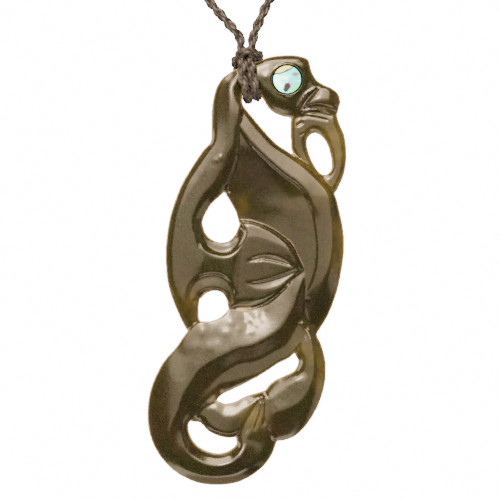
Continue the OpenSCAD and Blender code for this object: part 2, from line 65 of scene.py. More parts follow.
stone_low, stone_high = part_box("jade_manaia")
middle = Vector((0, stone_high.y - BACK_DEPTH, stone_low.z + LOWEST))
camera = shown("camera", bpy.data.cameras.new("camera"))
bpy.context.scene.camera = camera
camera.data.sensor_width = 36
camera.data.lens = camera.data.sensor_width * VIEW_DISTANCE / VIEW_WIDTH
camera.location = middle + Vector((VIEW_ASIDE, -VIEW_DISTANCE, VIEW_ABOVE))
camera.rotation_euler = (math.radians(90), 0, 0)
camera.data.clip_start, camera.data.clip_end = NEAREST_SEEN, FARTHEST_SEEN

# The neck cord and its hitch
# One length of dark waxed cord, two plies of three yarns laid up together. It runs from the knot on the nape
# down the left, takes a lark's head hitch round the stone's narrow bridge, and runs up the right side again.
ROUTE = [
    (-1, -109.2, -140), (-1.3, -109.2, -139), (-3.6, -109, -136.2), (-6.6, -108.6, -132.6),
    (-14, -107, -122), (-27, -103, -99), (-41, -95, -76), (-53, -83, -56),
    (-62, -66, -38), (-63, -35, -18), (-53, -17, -9), (-38, -5, -4), (-19, 1, -1),
    (0, 2.6, 0),
    (19, 1, -1), (38, -5, -4), (53, -17, -9), (63, -35, -18), (62, -66, -38),
    (52, -83, -56), (39, -95, -76), (24, -103, -99), (10, -107, -121),
    (4, -108.6, -132.6), (2.3, -109, -136.2), (1.2, -109.2, -139), (1, -109.2, -140),
]
NAPE_POINT = 13
# The hitch, from the stone's middle point
HITCH = [
    (-1.0, -1.2, 39.2), (-0.65, -2.1, 37.8), (-0.66, -2.95, 36.2), (-0.7, -3, 34.2),
    (-0.3, -2.95, 32.2), (0.3, -2.2, 30.4), (0.3, -0.4, 30.0), (0.2, 1.3, 30.2),
    (-0.1, 2.9, 31.2), (-0.8, 3.6, 33.2), (-1.5, 3.4, 35.2), (-1.8, 1.7, 36.2),
    (-1.9, -0.3, 36.6), (-1.6, -2.3, 37.2), (-0.7, -3.5, 38.1), (0.4, -3.6, 38.3),
    (1.4, -3.1, 37.8), (2.0, -1.9, 37.5), (2.1, -0.2, 37.9), (2.1, 1.6, 37.7), (2.1, 2.9, 36.6), (2.1, 3.4, 34.6),
    (1.9, 3.2, 32.1), (1.9, 1.5, 30.8), (1.9, -0.5, 30.5), (1.7, -2.2, 30.9),
    (1.25, -3, 32.8), (0.8, -2.95, 34.8), (0.66, -2.9, 36.4), (0.65, -2.1, 37.9),
    (0.95, -1.2, 39.2),
]
CORD = 1.8 * MM
PLIES, YARNS_IN_PLY, YARN_SIDES, ROUTE_STEPS = 2, 3, 6, 12
# How closely the line is stepped, how far each ply and yarn lies from its middle line and the length in which it
# goes round once, and a yarn's thickness. The yarns twist the other way.
LAY = {"Step": 0.3 * MM, "Ply Offset": 0.31 * MM, "Ply Pitch": 5.4 * MM,
       "Yarn Offset": 0.27 * MM, "Yarn Pitch": -4.6 * MM, "Yarn": 0.76 * MM}
WAX_DARK, WAX_PALE = (0.008, 0.007, 0.007), (0.15, 0.14, 0.155)
# Fibres in waves to the millimetre along a yarn, with how many millimetres a turn round it counts as and how high
# they stand, and patches of wax in waves to the metre
TO_MM, FIBRES, FIBRES_ROUND, FIBRE_RISE, WAX_PATCHES = 1000.0, 1.6, 9.0, 0.08 * MM, 900.0


def eased(rows, steps, loop=False):
    """A table's rows with more rows eased in between, on one smooth curve."""
    rows = np.array(rows, float)
    count = len(rows)
    segments = count if loop else count - 1
    i = np.repeat(np.arange(segments), steps)
    t = np.tile(np.arange(steps) / steps, segments)[:, None]
    near = [rows[(i + k) % count] if loop else rows[np.clip(i + k, 0, count - 1)] for k in (-1, 0, 1, 2)]
    a, b, c, d = near
    line = (2 * b + (c - a) * t + (2 * a - 5 * b + 4 * c - d) * t**2 + (3 * b - a - 3 * c + d) * t**3) / 2
    return np.vstack([line, rows[:1] if loop else rows[-1:]])


def add(tree, kind, feeds=(), **settings):
    """A new node's first working output. Feeds are values or sockets, in order or by input name."""
    made = tree.nodes.new(kind)
    for name, value in settings.items():
        setattr(made, name, value)
    working = [s for s in made.inputs if s.enabled]
    if isinstance(feeds, dict):
        working = [next(s for s in working if s.name == name) for name in feeds]
        feeds = feeds.values()
    for socket, feed in zip(working, feeds):
        if isinstance(feed, bpy.types.NodeSocket):
            tree.links.new(feed, socket)
        elif feed is not None:
            socket.default_value = feed
    return next((s for s in made.outputs if s.enabled), made)


def maths(tree, operation, *feeds):
    return add(tree, "ShaderNodeMath", feeds, operation=operation)


def vectors(tree, operation, *feeds):
    return add(tree, "ShaderNodeVectorMath", feeds, operation=operation)


def cord_tree():
    """Lays yarns up into plies and plies into a cord, along whatever curve it is given."""
    tree = bpy.data.node_groups.new("laid_cord", "GeometryNodeTree")
    tree.is_modifier = True
    inputs = {"Geometry": "Geometry", **dict.fromkeys(LAY, "Float"), "Finish": "Material"}
    for name, kind in inputs.items():
        tree.interface.new_socket(name, in_out="INPUT", socket_type="NodeSocket" + kind)
    tree.interface.new_socket("Geometry", in_out="OUTPUT", socket_type="NodeSocketGeometry")
    given = tree.nodes.new("NodeGroupInput").outputs
    line = add(tree, "GeometryNodeResampleCurve", {"Curve": given["Geometry"], "Length": given["Step"]},
               mode="LENGTH")
    line = add(tree, "GeometryNodeSetCurveNormal", {"Curve": line}, mode="MINIMUM_TWIST")
    yarns = add(tree, "GeometryNodeDuplicateElements", {"Geometry": line, "Amount": PLIES * YARNS_IN_PLY},
                domain="SPLINE")
    index = yarns.node.outputs["Duplicate Index"]
    ply = maths(tree, "FLOOR", maths(tree, "DIVIDE", index, YARNS_IN_PLY))
    run = tree.nodes.new("GeometryNodeSplineParameter").outputs["Length"]
    across = add(tree, "GeometryNodeInputNormal")
    up = vectors(tree, "CROSS_PRODUCT", add(tree, "GeometryNodeInputTangent"), across)

    def turned(pitch, share, offset):
        angle = maths(tree, "MULTIPLY", maths(tree, "ADD", maths(tree, "DIVIDE", run, pitch), share), math.tau)
        return vectors(tree, "SCALE", vectors(
            tree, "ADD", vectors(tree, "SCALE", across, maths(tree, "COSINE", angle)),
            vectors(tree, "SCALE", up, maths(tree, "SINE", angle))), offset)

    in_cord = turned(given["Ply Pitch"], maths(tree, "DIVIDE", ply, PLIES), given["Ply Offset"])
    in_ply = turned(given["Yarn Pitch"], maths(tree, "DIVIDE", index, YARNS_IN_PLY), given["Yarn Offset"])
    moved = add(tree, "GeometryNodeSetPosition",
                {"Geometry": yarns, "Offset": vectors(tree, "ADD", in_cord, in_ply)})
    for name, value in (("along", run), ("yarn", index)):
        moved = add(tree, "GeometryNodeStoreNamedAttribute", {"Geometry": moved, "Name": name, "Value": value},
                    data_type="FLOAT", domain="POINT")
    ring = add(tree, "GeometryNodeCurvePrimitiveCircle",
               {"Resolution": YARN_SIDES, "Radius": maths(tree, "MULTIPLY", given["Yarn"], 0.5)})
    ring = add(tree, "GeometryNodeStoreNamedAttribute", {
        "Geometry": ring, "Name": "around",
        "Value": tree.nodes.new("GeometryNodeSplineParameter").outputs["Factor"]},
        data_type="FLOAT", domain="POINT")
    skin = add(tree, "GeometryNodeCurveToMesh", {"Curve": moved, "Profile Curve": ring, "Fill Caps": True})
    skin = add(tree, "GeometryNodeSetShadeSmooth", {"Geometry": skin})
    skin = add(tree, "GeometryNodeRealizeInstances", {"Geometry": skin})
    skin = add(tree, "GeometryNodeSetMaterial", {"Geometry": skin, "Material": given["Finish"]})
    tree.links.new(skin, tree.nodes.new("NodeGroupOutput").inputs["Geometry"])
    return tree


def finish_of(name, settings):
    """A new material, its node tree and its shader, with what is the same all over the surface."""
    made = bpy.data.materials.new(name)
    made.use_nodes = True
    shader = made.node_tree.nodes["Principled BSDF"]
    for socket, value in settings.items():
        shader.inputs[socket].default_value = value
    return made, made.node_tree, shader


def measured(tree, name):
    """One of the piece's own attributes, as a number."""
    return add(tree, "ShaderNodeAttribute", attribute_name=name).node.outputs["Fac"]


def cloudy(tree, where, scale, detail=2.0, rough=0.5):
    """Soft noise, from 0 to 1."""
    return add(tree, "ShaderNodeTexNoise",
               {"Vector": where, "Scale": scale, "Detail": detail, "Roughness": rough})


def spread(tree, value, low, high, to_low=0.0, to_high=1.0):
    """A value's stretch from low to high, laid smoothly over another."""
    return add(tree, "ShaderNodeMapRange", (value, low, high, to_low, to_high), interpolation_type="SMOOTHSTEP")


def blended(tree, share, first, second):
    """Two colours, mixed by a share."""
    colours = [c if isinstance(c, bpy.types.NodeSocket) else (*c, 1) for c in (first, second)]
    return add(tree, "ShaderNodeMix", (share, *colours), data_type="RGBA")


def waxed():
    """Dark waxed thread: fine fibres run along each yarn, with patches of darker wax."""
    made, tree, shader = finish_of("waxed_cord", {"Sheen Weight": 0.12, "Sheen Roughness": 0.4})
    where = add(tree, "ShaderNodeCombineXYZ",
                (maths(tree, "MULTIPLY", measured(tree, "along"), TO_MM),
                 maths(tree, "MULTIPLY", measured(tree, "around"), FIBRES_ROUND), measured(tree, "yarn")))
    fibres = cloudy(tree, where, FIBRES, 3.0, 0.65)
    patches = cloudy(tree, add(tree, "ShaderNodeTexCoord").node.outputs["Object"], WAX_PATCHES)
    colour = blended(tree, spread(tree, fibres, 0.35, 0.7), WAX_DARK, WAX_PALE)
    colour = blended(tree, spread(tree, patches, 0.42, 0.62, 0.0, 0.8), colour, WAX_DARK)
    tree.links.new(colour, shader.inputs["Base Color"])
    tree.links.new(spread(tree, fibres, 0.3, 0.7, 0.5, 0.32), shader.inputs["Roughness"])
    raised = add(tree, "ShaderNodeBump", {"Strength": 0.6, "Distance": FIBRE_RISE, "Height": fibres})
    tree.links.new(raised, shader.inputs["Normal"])
    return made


laid_cord, cord_wax = cord_tree(), waxed()


def plain_mesh(maker):
    """The mesh that an object's modifiers make. The object itself goes."""
    bpy.context.view_layer.update()
    made = bpy.data.meshes.new_from_object(maker.evaluated_get(bpy.context.evaluated_depsgraph_get()))
    bpy.data.objects.remove(maker)
    return made


def laid(name, points):
    """A cord of plain mesh, laid along the points."""
    line = bpy.data.curves.new(name + "_line", "CURVE")
    line.dimensions = "3D"
    spline = line.splines.new("POLY")
    spline.points.add(len(points) - 1)
    spline.points.foreach_set("co", np.column_stack([points, np.ones(len(points))]).ravel())
    guide = shown(name + "_line", line)
    lay = guide.modifiers.new("lay", "NODES")
    lay.node_group = laid_cord
    given = {**LAY, "Finish": cord_wax}
    for item in laid_cord.interface.items_tree:
        if item.name in given:
            lay[item.identifier] = given[item.name]
    piece = shown(name, plain_mesh(guide))
    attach(piece, "root")
    return piece


hitch = np.array(HITCH) * MM + np.array(middle)
route = np.array(ROUTE) * MM
whole_run = np.vstack([route[NAPE_POINT:0:-1], hitch, route[:NAPE_POINT - 1:-1]])
neck_cord = laid("waxed_neck_cord", eased(whole_run, ROUTE_STEPS))
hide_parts("neck_cord", "cord_hitch")

# The closing knot
# The loop's two ends meet in a short barrel on the nape. It is the same waxed cord, wound four turns round
# them and drawn tight, with its own ends tucked in under the turns.
KNOT_TURNS, KNOT_STEPS = 4, 24
TUCK_TURN, TUCK_EASE = 1.2, 0.5
knot_low, knot_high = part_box("closing_knot")
knot_middle = (knot_low + knot_high) / 2
coil = (knot_high.z - knot_low.z - CORD) / 2
half_length = (knot_high.x - knot_low.x - CORD) / 2
angles = np.linspace(0, math.tau * KNOT_TURNS, KNOT_STEPS * KNOT_TURNS + 1)
tucked = np.clip(np.minimum(angles, angles[-1] - angles) / TUCK_TURN, 0, 1) ** TUCK_EASE
winding = np.column_stack([
    knot_middle.x + np.linspace(-half_length, half_length, len(angles)),
    knot_middle.y + coil * tucked * np.cos(angles),
    knot_middle.z + coil * tucked * np.sin(angles),
])
knot = laid("wound_knot", winding)
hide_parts("closing_knot")

# The stone
# A slab of dark olive nephrite, sawn and pierced to the figure's outline and then carved in relief with burrs.
# Each limb is a table, in millimetres from the stone's middle. A row reads across its front: one rim's x, z and
# height, the share across and the height of each crest, and the other rim's height, x and z.

# The shoulder and the long left arm, down to the waist
ARM = [
    (-1.5, 35.4, 1.2, 0.35, 2.1, 0.5, 2.3, 1.8, -0.9, 33.4),
    (-3, 34.6, 1.2, 0.16, 1.8, 0.48, 2.6, 1.8, -0.8, 31.8),
    (-4.4, 33.4, 1.3, 0.14, 2, 0.48, 2.8, 2, -0.8, 30.6),
    (-5.4, 31.6, 1.3, 0.13, 2.1, 0.6, 3.05, 2.6, -0.8, 29.4),
    (-6, 28.7, 1.4, 0.14, 2.28, 0.68, 3.25, 3.1, -1, 27.4),
    (-6.1, 25.6, 1.5, 0.16, 2.5, 0.74, 3.3, 3, -1.4, 25),
    (-6.2, 22.7, 1.7, 0.2, 2.8, 0.7, 3.3, 2.9, -1.6, 21.8),
    (-7.7, 20.9, 1.7, 0.3, 2.9, 0.58, 3.2, 2.5, -2, 18.9),
    (-9.7, 17.9, 1.9, 0.35, 3, 0.6, 3.15, 1.9, -3.8, 14.2),
    (-11.6, 14.5, 2, 0.35, 3, 0.62, 3.15, 1.6, -6.2, 11.7),
    (-13.3, 9.6, 2, 0.35, 3, 0.64, 3.15, 1.5, -7.7, 8.8),
    (-14, 5.1, 2, 0.3, 3.05, 0.75, 3.2, 1.6, -7.4, 6.8),
    (-14.1, 2.4, 2, 0.3, 3.05, 0.7, 3.2, 3.1, -7.4, 3.3),
    (-13.9, -0.9, 2, 0.3, 3.05, 0.62, 3.1, 2.9, -7.8, -0.9),
    (-13.4, -3.3, 1.8, 0.28, 3, 0.5, 3.1, 2.6, -8, -3.2),
    (-12.7, -5.4, 1.6, 0.24, 2.8, 0.4, 3, 1.3, -8.3, -5.4),
    (-11.5, -8.2, 1.3, 0.3, 2.3, 0.5, 2.4, 1.2, -8.4, -8),
    (-10.4, -10.3, 1.2, 0.4, 1.9, 0.6, 2, 1.2, -7.6, -9.6),
]
# The palm, between the two round piercings, dished towards both
PALM = [
    (-8.6, 7.2, 2, 0.28, 3.1, 0.62, 3, 2.4, -9, -5),
    (-7.4, 6.8, 3.1, 0.28, 3.2, 0.62, 2.9, 2.6, -8, -4.7),
    (-6.4, 5.7, 3.2, 0.3, 3.2, 0.6, 2.9, 2.6, -7.1, -3.9),
    (-4.7, 5, 3.2, 0.33, 3.2, 0.64, 2.9, 2.6, -5.7, -3.4),
    (-3, 5.3, 3.2, 0.33, 3.2, 0.72, 2.9, 2.6, -4.3, -3.7),
    (-1.9, 6.5, 3.2, 0.33, 3.2, 0.77, 2.8, 2.5, -3.4, -5),
    (-1.3, 7.9, 2.8, 0.25, 3.2, 0.8, 2.7, 2.3, -3.2, -6.3),
    (-0.6, 8.6, 2.4, 0.2, 3.1, 0.8, 2.7, 2.1, -2, -6.6),
]
# The hand that lies flat over the chest, as one plane that the fingers are cut into
HAND = [
    (-0.9, 8.7, 2.2, 0.06, 2.8, 0.2, 3, 0.88, 2.4, 2, -3.1, -6.7),
    (0.2, 8.6, 2.5, 0.03, 2.9, 0.19, 3.15, 0.9, 2.55, 2, -1.9, -6.5),
    (1.2, 8.4, 2.6, 0.03, 2.95, 0.17, 3.2, 0.9, 2.6, 2, -0.6, -6.4),
    (3, 7.8, 2.6, 0.03, 2.95, 0.15, 3.2, 0.91, 2.6, 2, 1.4, -6.2),
    (4.9, 6.8, 2.6, 0.03, 2.95, 0.15, 3.2, 0.92, 2.6, 2, 3.6, -5.4),
    (6.9, 5.3, 2.6, 0.04, 2.95, 0.13, 3.15, 0.92, 2.6, 2, 5.6, -4),
    (8.1, 3.9, 2.5, 0.05, 2.85, 0.17, 3.1, 0.92, 2.6, 2, 7.3, -2.1),
    (8.9, 2.1, 2.3, 0.08, 2.75, 0.28, 2.95, 0.9, 2.6, 2, 8.5, -0.8),
    (9.9, 0.5, 1.8, 0.3, 2.2, 0.5, 2.2, 0.7, 2.2, 1.9, 9.7, 0.1),
]
# The sunken chest between the arm and the band, which runs on under the fingers
CHEST = [
    (-2.2, 28.5, 1.8, 0.3, 2, 0.7, 2, 1.8, -0.7, 27.8),
    (-2.9, 23.8, 2.6, 0.3, 2.8, 0.7, 2.8, 2.6, 1.3, 22.9),
    (-3.6, 19.4, 2.3, 0.3, 2.4, 0.7, 2.4, 2.7, 5.5, 19.1),
    (-4.5, 15.9, 1.8, 0.25, 2, 0.72, 2.05, 2.7, 9.4, 15.6),
    (-3.7, 13.7, 1.5, 0.25, 1.75, 0.72, 1.85, 2.7, 11.5, 13),
    (-2.9, 12.3, 1.4, 0.22, 1.55, 0.66, 1.75, 2.96, 12.5, 10.4),
    (-1.9, 10.5, 1.2, 0.22, 1.35, 0.62, 1.6, 2.96, 12.8, 8.1),
    (-1.4, 8.8, 1.1, 0.25, 1.2, 0.62, 1.55, 2.96, 13.1, 5.4),
    (-0.6, 6.3, 1, 0.3, 1.1, 0.62, 1.55, 2.96, 13.2, 2.8),
    (-0.5, 2.8, 1, 0.5, 1.2, 0.68, 1.65, 2.9, 12.9, 0.2),
    (-0.5, -1, 1.2, 0.6, 1.4, 0.74, 1.7, 2.5, 11.6, -2.3),
    (0, -5, 1.4, 0.6, 1.6, 0.8, 1.9, 2.4, 11.1, -5.1),
]
# The flat band from the neck across the chest, which becomes the right side of the body
BAND = [
    (-1, 30, 1.6, 0.3, 2, 0.7, 2.2, 1.9, -2.6, 28),
    (-0.5, 28.7, 1.6, 0.15, 2.2, 0.85, 2.8, 2.4, -2, 26.6),
    (0.9, 27, 1.6, 0.13, 2.5, 0.93, 3.2, 2.6, -1.1, 24.7),
    (2.9, 24.6, 1.6, 0.12, 2.6, 0.95, 3.3, 2.6, 0.8, 22.1),
    (5.1, 22.3, 1.6, 0.12, 2.6, 0.95, 3.35, 2.5, 3.6, 19.3),
    (7.6, 20.6, 1.7, 0.12, 2.6, 0.95, 3.35, 2.4, 6.4, 16.8),
    (10.4, 18.5, 1.8, 0.12, 2.65, 0.95, 3.35, 2.3, 8.8, 15.1),
    (12.9, 16.2, 1.8, 0.13, 2.75, 0.94, 3.3, 2.4, 10.4, 13.3),
    (15.2, 13.7, 1.3, 0.18, 3, 0.94, 3.2, 2.6, 11.3, 11.2),
    (16.2, 10.5, 1.5, 0.3, 3.1, 0.88, 2.96, 2.87, 11.9, 8.8),
    (16.9, 6.8, 1.6, 0.4, 3.2, 0.88, 2.94, 2.87, 12.3, 5.8),
    (17, 3.6, 1.6, 0.46, 3.25, 0.88, 2.94, 2.87, 12.4, 3.2),
    (16.5, -0.2, 1.6, 0.54, 3.25, 0.88, 2.88, 2.81, 12.1, 0.2),
    (15.7, -3.8, 1.5, 0.58, 2.85, 0.93, 2.6, 2.4, 11.1, -2.5),
    (14.3, -7.5, 1.2, 0.55, 2.3, 0.93, 2.1, 2, 9.7, -5.1),
    (12.7, -10.2, 1.2, 0.5, 1.9, 0.9, 1.8, 1.7, 8.7, -7.9),
    (12, -11.2, 1.2, 0.5, 1.7, 0.9, 1.7, 1.6, 8.5, -10),
]
# The lower body, which sweeps down to the left and turns once round the tail loop
SWEEP = [
    (9.2, 8, 0.8, 0.3, 0.9, 0.7, 0.9, 0.9, 0.9, 0.8, 12.9, 3.5),
    (9.3, 4.4, 1.1, 0.32, 1.3, 0.68, 1.5, 0.9, 1.4, 1.3, 13.2, -0.9),
    (9, 1.6, 1.6, 0.28, 2.1, 0.6, 1.8, 0.9, 1.7, 1.6, 13.2, -5.1),
    (8.1, -1.1, 2.45, 0.31, 2.7, 0.64, 2, 0.94, 1.9, 1.7, 11.5, -8.9),
    (6.6, -3.1, 2.5, 0.4, 3, 0.7, 2.4, 0.97, 2.4, 2.4, 9.9, -11.7),
    (4.3, -5, 2.3, 0.48, 3.25, 0.76, 2.5, 0.97, 2.5, 2.4, 7.9, -14.7),
    (2, -6.1, 1.9, 0.53, 3.4, 0.77, 2.5, 0.97, 2.5, 2.4, 5.3, -16.2),
    (-0.6, -6.7, 1.9, 0.54, 3.4, 0.76, 2.5, 0.96, 2.5, 2.4, 2.4, -18.1),
    (-2.9, -6.7, 2.1, 0.52, 3.4, 0.71, 2.55, 0.93, 2.55, 2.25, -0.4, -19.6),
    (-4.5, -8.1, 2.35, 0.5, 3.4, 0.7, 2.55, 0.89, 2.55, 2.1, -2.7, -20.7),
    (-6.4, -8.8, 2.4, 0.5, 3.4, 0.73, 2.6, 0.85, 2.6, 1.9, -4.3, -21.5),
    (-8.3, -8.9, 2.4, 0.52, 3.4, 0.76, 2.6, 0.87, 2.6, 1.8, -5.3, -22.5),
    (-10.5, -10.8, 2.3, 0.52, 3.4, 0.78, 2.5, 0.9, 2.45, 1.8, -6.6, -23.3),
    (-12.3, -13.3, 2.1, 0.55, 3.4, 0.8, 2.5, 0.92, 2.3, 1.8, -7.8, -24.3),
    (-14.8, -16.3, 1.8, 0.6, 3.4, 0.84, 2.6, 0.94, 2.2, 1.7, -9, -25.5),
    (-16.7, -20.5, 1.4, 0.68, 3.4, 0.88, 2.7, 0.96, 2.1, 1.5, -10, -26.3),
    (-17.3, -24.7, 1.3, 0.62, 3.3, 0.88, 2.7, 0.96, 2, 1.4, -10.2, -27.3),
    (-16.9, -28.4, 1.3, 0.5, 3.1, 0.86, 2.8, 0.95, 2.1, 1.4, -10, -28.4),
    (-15.4, -31.8, 1.4, 0.36, 2.75, 0.76, 3, 0.91, 2.2, 1.4, -9.3, -29.8),
    (-12.8, -34.7, 1.5, 0.3, 2.6, 0.68, 3.05, 0.87, 2.4, 1.4, -8.1, -30.9),
    (-9.2, -36.7, 1.5, 0.3, 2.65, 0.65, 3.05, 0.85, 2.4, 1.4, -6.6, -31.6),
    (-5.6, -37.3, 1.5, 0.3, 2.65, 0.64, 3.05, 0.85, 2.4, 1.4, -5, -31.9),
    (-1.8, -36.9, 1.5, 0.3, 2.65, 0.67, 3.05, 0.87, 2.4, 1.4, -3.4, -31.6),
    (1.4, -35.3, 1.5, 0.3, 2.65, 0.74, 3, 0.9, 2.3, 1.4, -2.2, -30.8),
    (3.8, -33, 1.4, 0.28, 2.2, 0.8, 2.7, 0.92, 2.2, 1.4, -1.6, -30),
    (5.1, -30.2, 1.4, 0.25, 2.1, 0.8, 2.5, 0.92, 2.2, 1.6, -1.8, -29.3),
    (5.3, -27.8, 1.8, 0.3, 2.3, 0.7, 2.5, 0.9, 2.3, 2, -1.1, -27.5),
    (4.6, -24.9, 2.1, 0.3, 2.45, 0.7, 2.45, 0.9, 2.2, 2, 0.4, -24.7),
    (3.4, -21.9, 2.1, 0.3, 2.4, 0.7, 2.4, 0.9, 2.2, 2, 2.4, -21.7),
]
# The tail leaf, between the long slot and the kidney-shaped piercing
TAIL_LEAF = [
    (3.6, -20.8, 1.3, 0.3, 1.8, 0.7, 1.8, 1.7, 3.2, -22.9),
    (1.8, -21.3, 1.3, 0.3, 2.4, 0.7, 2, 1.7, 1.7, -25.4),
    (-0.3, -22, 1.8, 0.4, 2.5, 0.84, 2.4, 1.7, -0.3, -27.8),
    (-2.1, -22.9, 1.8, 0.42, 2.6, 0.86, 2.5, 1.5, -2.4, -29),
    (-3.8, -23.2, 1.8, 0.4, 2.4, 0.86, 2.35, 1.4, -4.6, -28.8),
    (-5, -22.8, 1.8, 0.3, 2.2, 0.8, 2.2, 1.4, -6.6, -27.9),
    (-6.9, -22.9, 1.7, 0.35, 2, 0.65, 2, 1.3, -8.1, -26.4),
    (-8.8, -24, 1.7, 0.4, 1.8, 0.7, 1.8, 1.3, -9.5, -26.3),
]
# The tail lobe on the right of the long slot
TAIL_LOBE = [
    (11.5, -8.2, 1.6, 0.4, 2, 0.7, 2, 1.7, 8.3, -10.3),
    (12.2, -11.1, 1.4, 0.3, 2.6, 0.7, 2.4, 1.7, 8.5, -13),
    (13, -12.8, 1.4, 0.38, 2.8, 0.7, 2.5, 1.4, 8.6, -14.6),
    (13.7, -15.4, 1.4, 0.48, 2.9, 0.75, 2.5, 1.4, 9.1, -15.8),
    (13.8, -18.4, 1.4, 0.43, 2.9, 0.7, 2.5, 1.4, 8.4, -17.4),
    (13.2, -21.4, 1.4, 0.37, 2.9, 0.7, 2.65, 1.4, 6.7, -18.3),
    (12.1, -24.2, 1.4, 0.37, 2.9, 0.7, 2.55, 1.4, 5, -19.1),
    (10.3, -27, 1.4, 0.48, 2.85, 0.78, 2.4, 1.4, 3.8, -20.2),
    (8.2, -28.9, 1.4, 0.6, 2.7, 0.85, 2.3, 1.5, 3.1, -21.5),
    (6, -29.6, 1.4, 0.7, 2.5, 0.9, 2.2, 1.8, 3.4, -24.3),
    (4.6, -29.4, 1.7, 0.35, 2.4, 0.8, 2.2, 2, 3.4, -27),
]
# The bird-like head, from the nape to the brow and the beak
HEAD = [
    (1.3, 36.3, 1, 0.16, 2.45, 0.5, 2.7, 0.72, 2.5, 1.4, 1.7, 31.8),
    (3, 37, 1, 0.14, 2.6, 0.46, 2.88, 0.7, 2.8, 1.5, 3, 30),
    (4.3, 37.4, 1, 0.13, 2.6, 0.42, 2.95, 0.72, 2.84, 1.4, 3.5, 29.1),
    (5.7, 37.6, 1, 0.13, 2.58, 0.38, 2.95, 0.75, 2.72, 1.3, 4.6, 27.9),
    (8, 37.7, 1, 0.13, 2.55, 0.36, 2.9, 0.78, 2.55, 1.3, 6.4, 27.1),
    (9.7, 37.4, 1, 0.13, 2.4, 0.38, 2.7, 0.8, 2.2, 1.5, 8.1, 26.9),
    (10.8, 36.8, 1, 0.14, 2.2, 0.4, 2.4, 0.8, 2, 1.7, 9.7, 26.8),
    (11.3, 35, 1, 0.3, 2.3, 0.7, 1.9, 0.9, 1.8, 1.7, 11.3, 26.6),
    (12.3, 33.3, 1, 0.3, 2.1, 0.75, 2.1, 0.9, 1.8, 1.7, 13, 26.6),
    (14.1, 32.2, 1, 0.3, 2.2, 0.7, 2.2, 0.9, 1.7, 1.4, 14.6, 26.8),
    (15.7, 31.3, 1, 0.3, 2, 0.7, 2, 0.9, 1.4, 1, 15.7, 27.3),
    (16.3, 30.1, 0.9, 0.4, 1.5, 0.6, 1.5, 0.8, 1.2, 0.9, 16.1, 28.5),
]
# The narrow bridge under the hitch, between the shoulder and the head
NAPE = [
    (-2.5, 34.8, 1.2, 0.3, 2, 0.7, 2, 1.7, -1.8, 29.5),
    (-0.8, 35.6, 1, 0.3, 2, 0.7, 2, 1.2, -0.7, 31.1),
    (0.4, 36, 1, 0.3, 2, 0.7, 2, 1.2, 0.5, 31.1),
    (1.5, 36.4, 1, 0.3, 2, 0.7, 2, 1.2, 1.8, 31.8),
    (2.7, 36.9, 1, 0.3, 2.2, 0.7, 2.2, 1.2, 2.7, 31.4),
]
# The open beak, one closed ring of an even section
BEAK_SECTION = (0.9, 0.35, 1.9, 0.65, 1.9, 0.9)
BEAK = [(*outside, *BEAK_SECTION, *inside) for outside, inside in (
    ((11.8, 28.5), (12.1, 24.2)), ((15.1, 28.2), (13.2, 23.6)), ((16.2, 25.7), (14.1, 22.3)),
    ((17.1, 23.5), (14.6, 20.8)), ((17.4, 20.7), (14.9, 19.3)), ((17.2, 17.9), (14.9, 18)),
    ((16.4, 15.5), (14.4, 17.1)), ((15, 13.5), (13.6, 16.8)), ((12.5, 15.2), (12.7, 17.2)),
    ((9.5, 18.9), (11.7, 18.6)), ((8, 21), (10.9, 20.4)), ((7.8, 22.7), (10.5, 22.1)),
    ((7.7, 24.6), (10.6, 23.2)), ((8.1, 26.9), (11.3, 24)),
)]
# The swelling of the upper lip, laid over the end of the head
LIP = [
    (12.2, 32, 1.8, 0.16, 2.2, 0.58, 2.6, 2.2, 9.7, 27.7),
    (13.4, 32.4, 1.2, 0.14, 2.4, 0.54, 2.85, 2.3, 11.6, 28),
    (14.8, 31.9, 1.1, 0.14, 2.4, 0.52, 2.8, 2.2, 13.6, 28.2),
    (16, 30.8, 1, 0.18, 2, 0.5, 2.4, 1.8, 15.1, 28.1),
    (16.4, 29.4, 0.9, 0.4, 1.8, 0.6, 1.8, 1, 15.9, 28.3),
]
# Dishes and finger leaves, cut into the limbs with a round burr and read in the same way
DISH_UPPER = [
    (-10.1, 9.4, 3.4, 0.4, 3.1, 0.9, 2.1, 1.6, -7.8, 9),
    (-9.7, 7.4, 3.4, 0.4, 2.8, 0.9, 1.9, 1.5, -7.5, 7.3),
    (-8.8, 5.6, 3.4, 0.4, 2.5, 0.9, 2.2, 1.7, -6.9, 6.2),
    (-7.6, 3.6, 3.4, 0.4, 2.4, 0.9, 2.2, 1.7, -5.9, 5.4),
    (-5.9, 2.6, 3.4, 0.4, 2.4, 0.9, 2.22, 1.8, -5.2, 5.1),
    (-4.1, 2.2, 3.4, 0.4, 2.4, 0.9, 2.22, 1.8, -4.2, 5),
    (-2.4, 2.6, 3.4, 0.4, 2.4, 0.9, 2.2, 1.7, -3.2, 5.2),
    (-1, 3.7, 3.4, 0.4, 2.5, 0.9, 2.2, 1.7, -2.4, 5.8),
    (0, 5.3, 3.4, 0.4, 2.6, 0.9, 2, 1.6, -1.8, 6.6),
    (0.4, 6.5, 3.4, 0.4, 2.6, 0.9, 2, 1.6, -1.4, 7.6),
    (-0.3, 8, 3.4, 0.4, 2.7, 0.9, 2, 1.6, -1.3, 8.4),
]
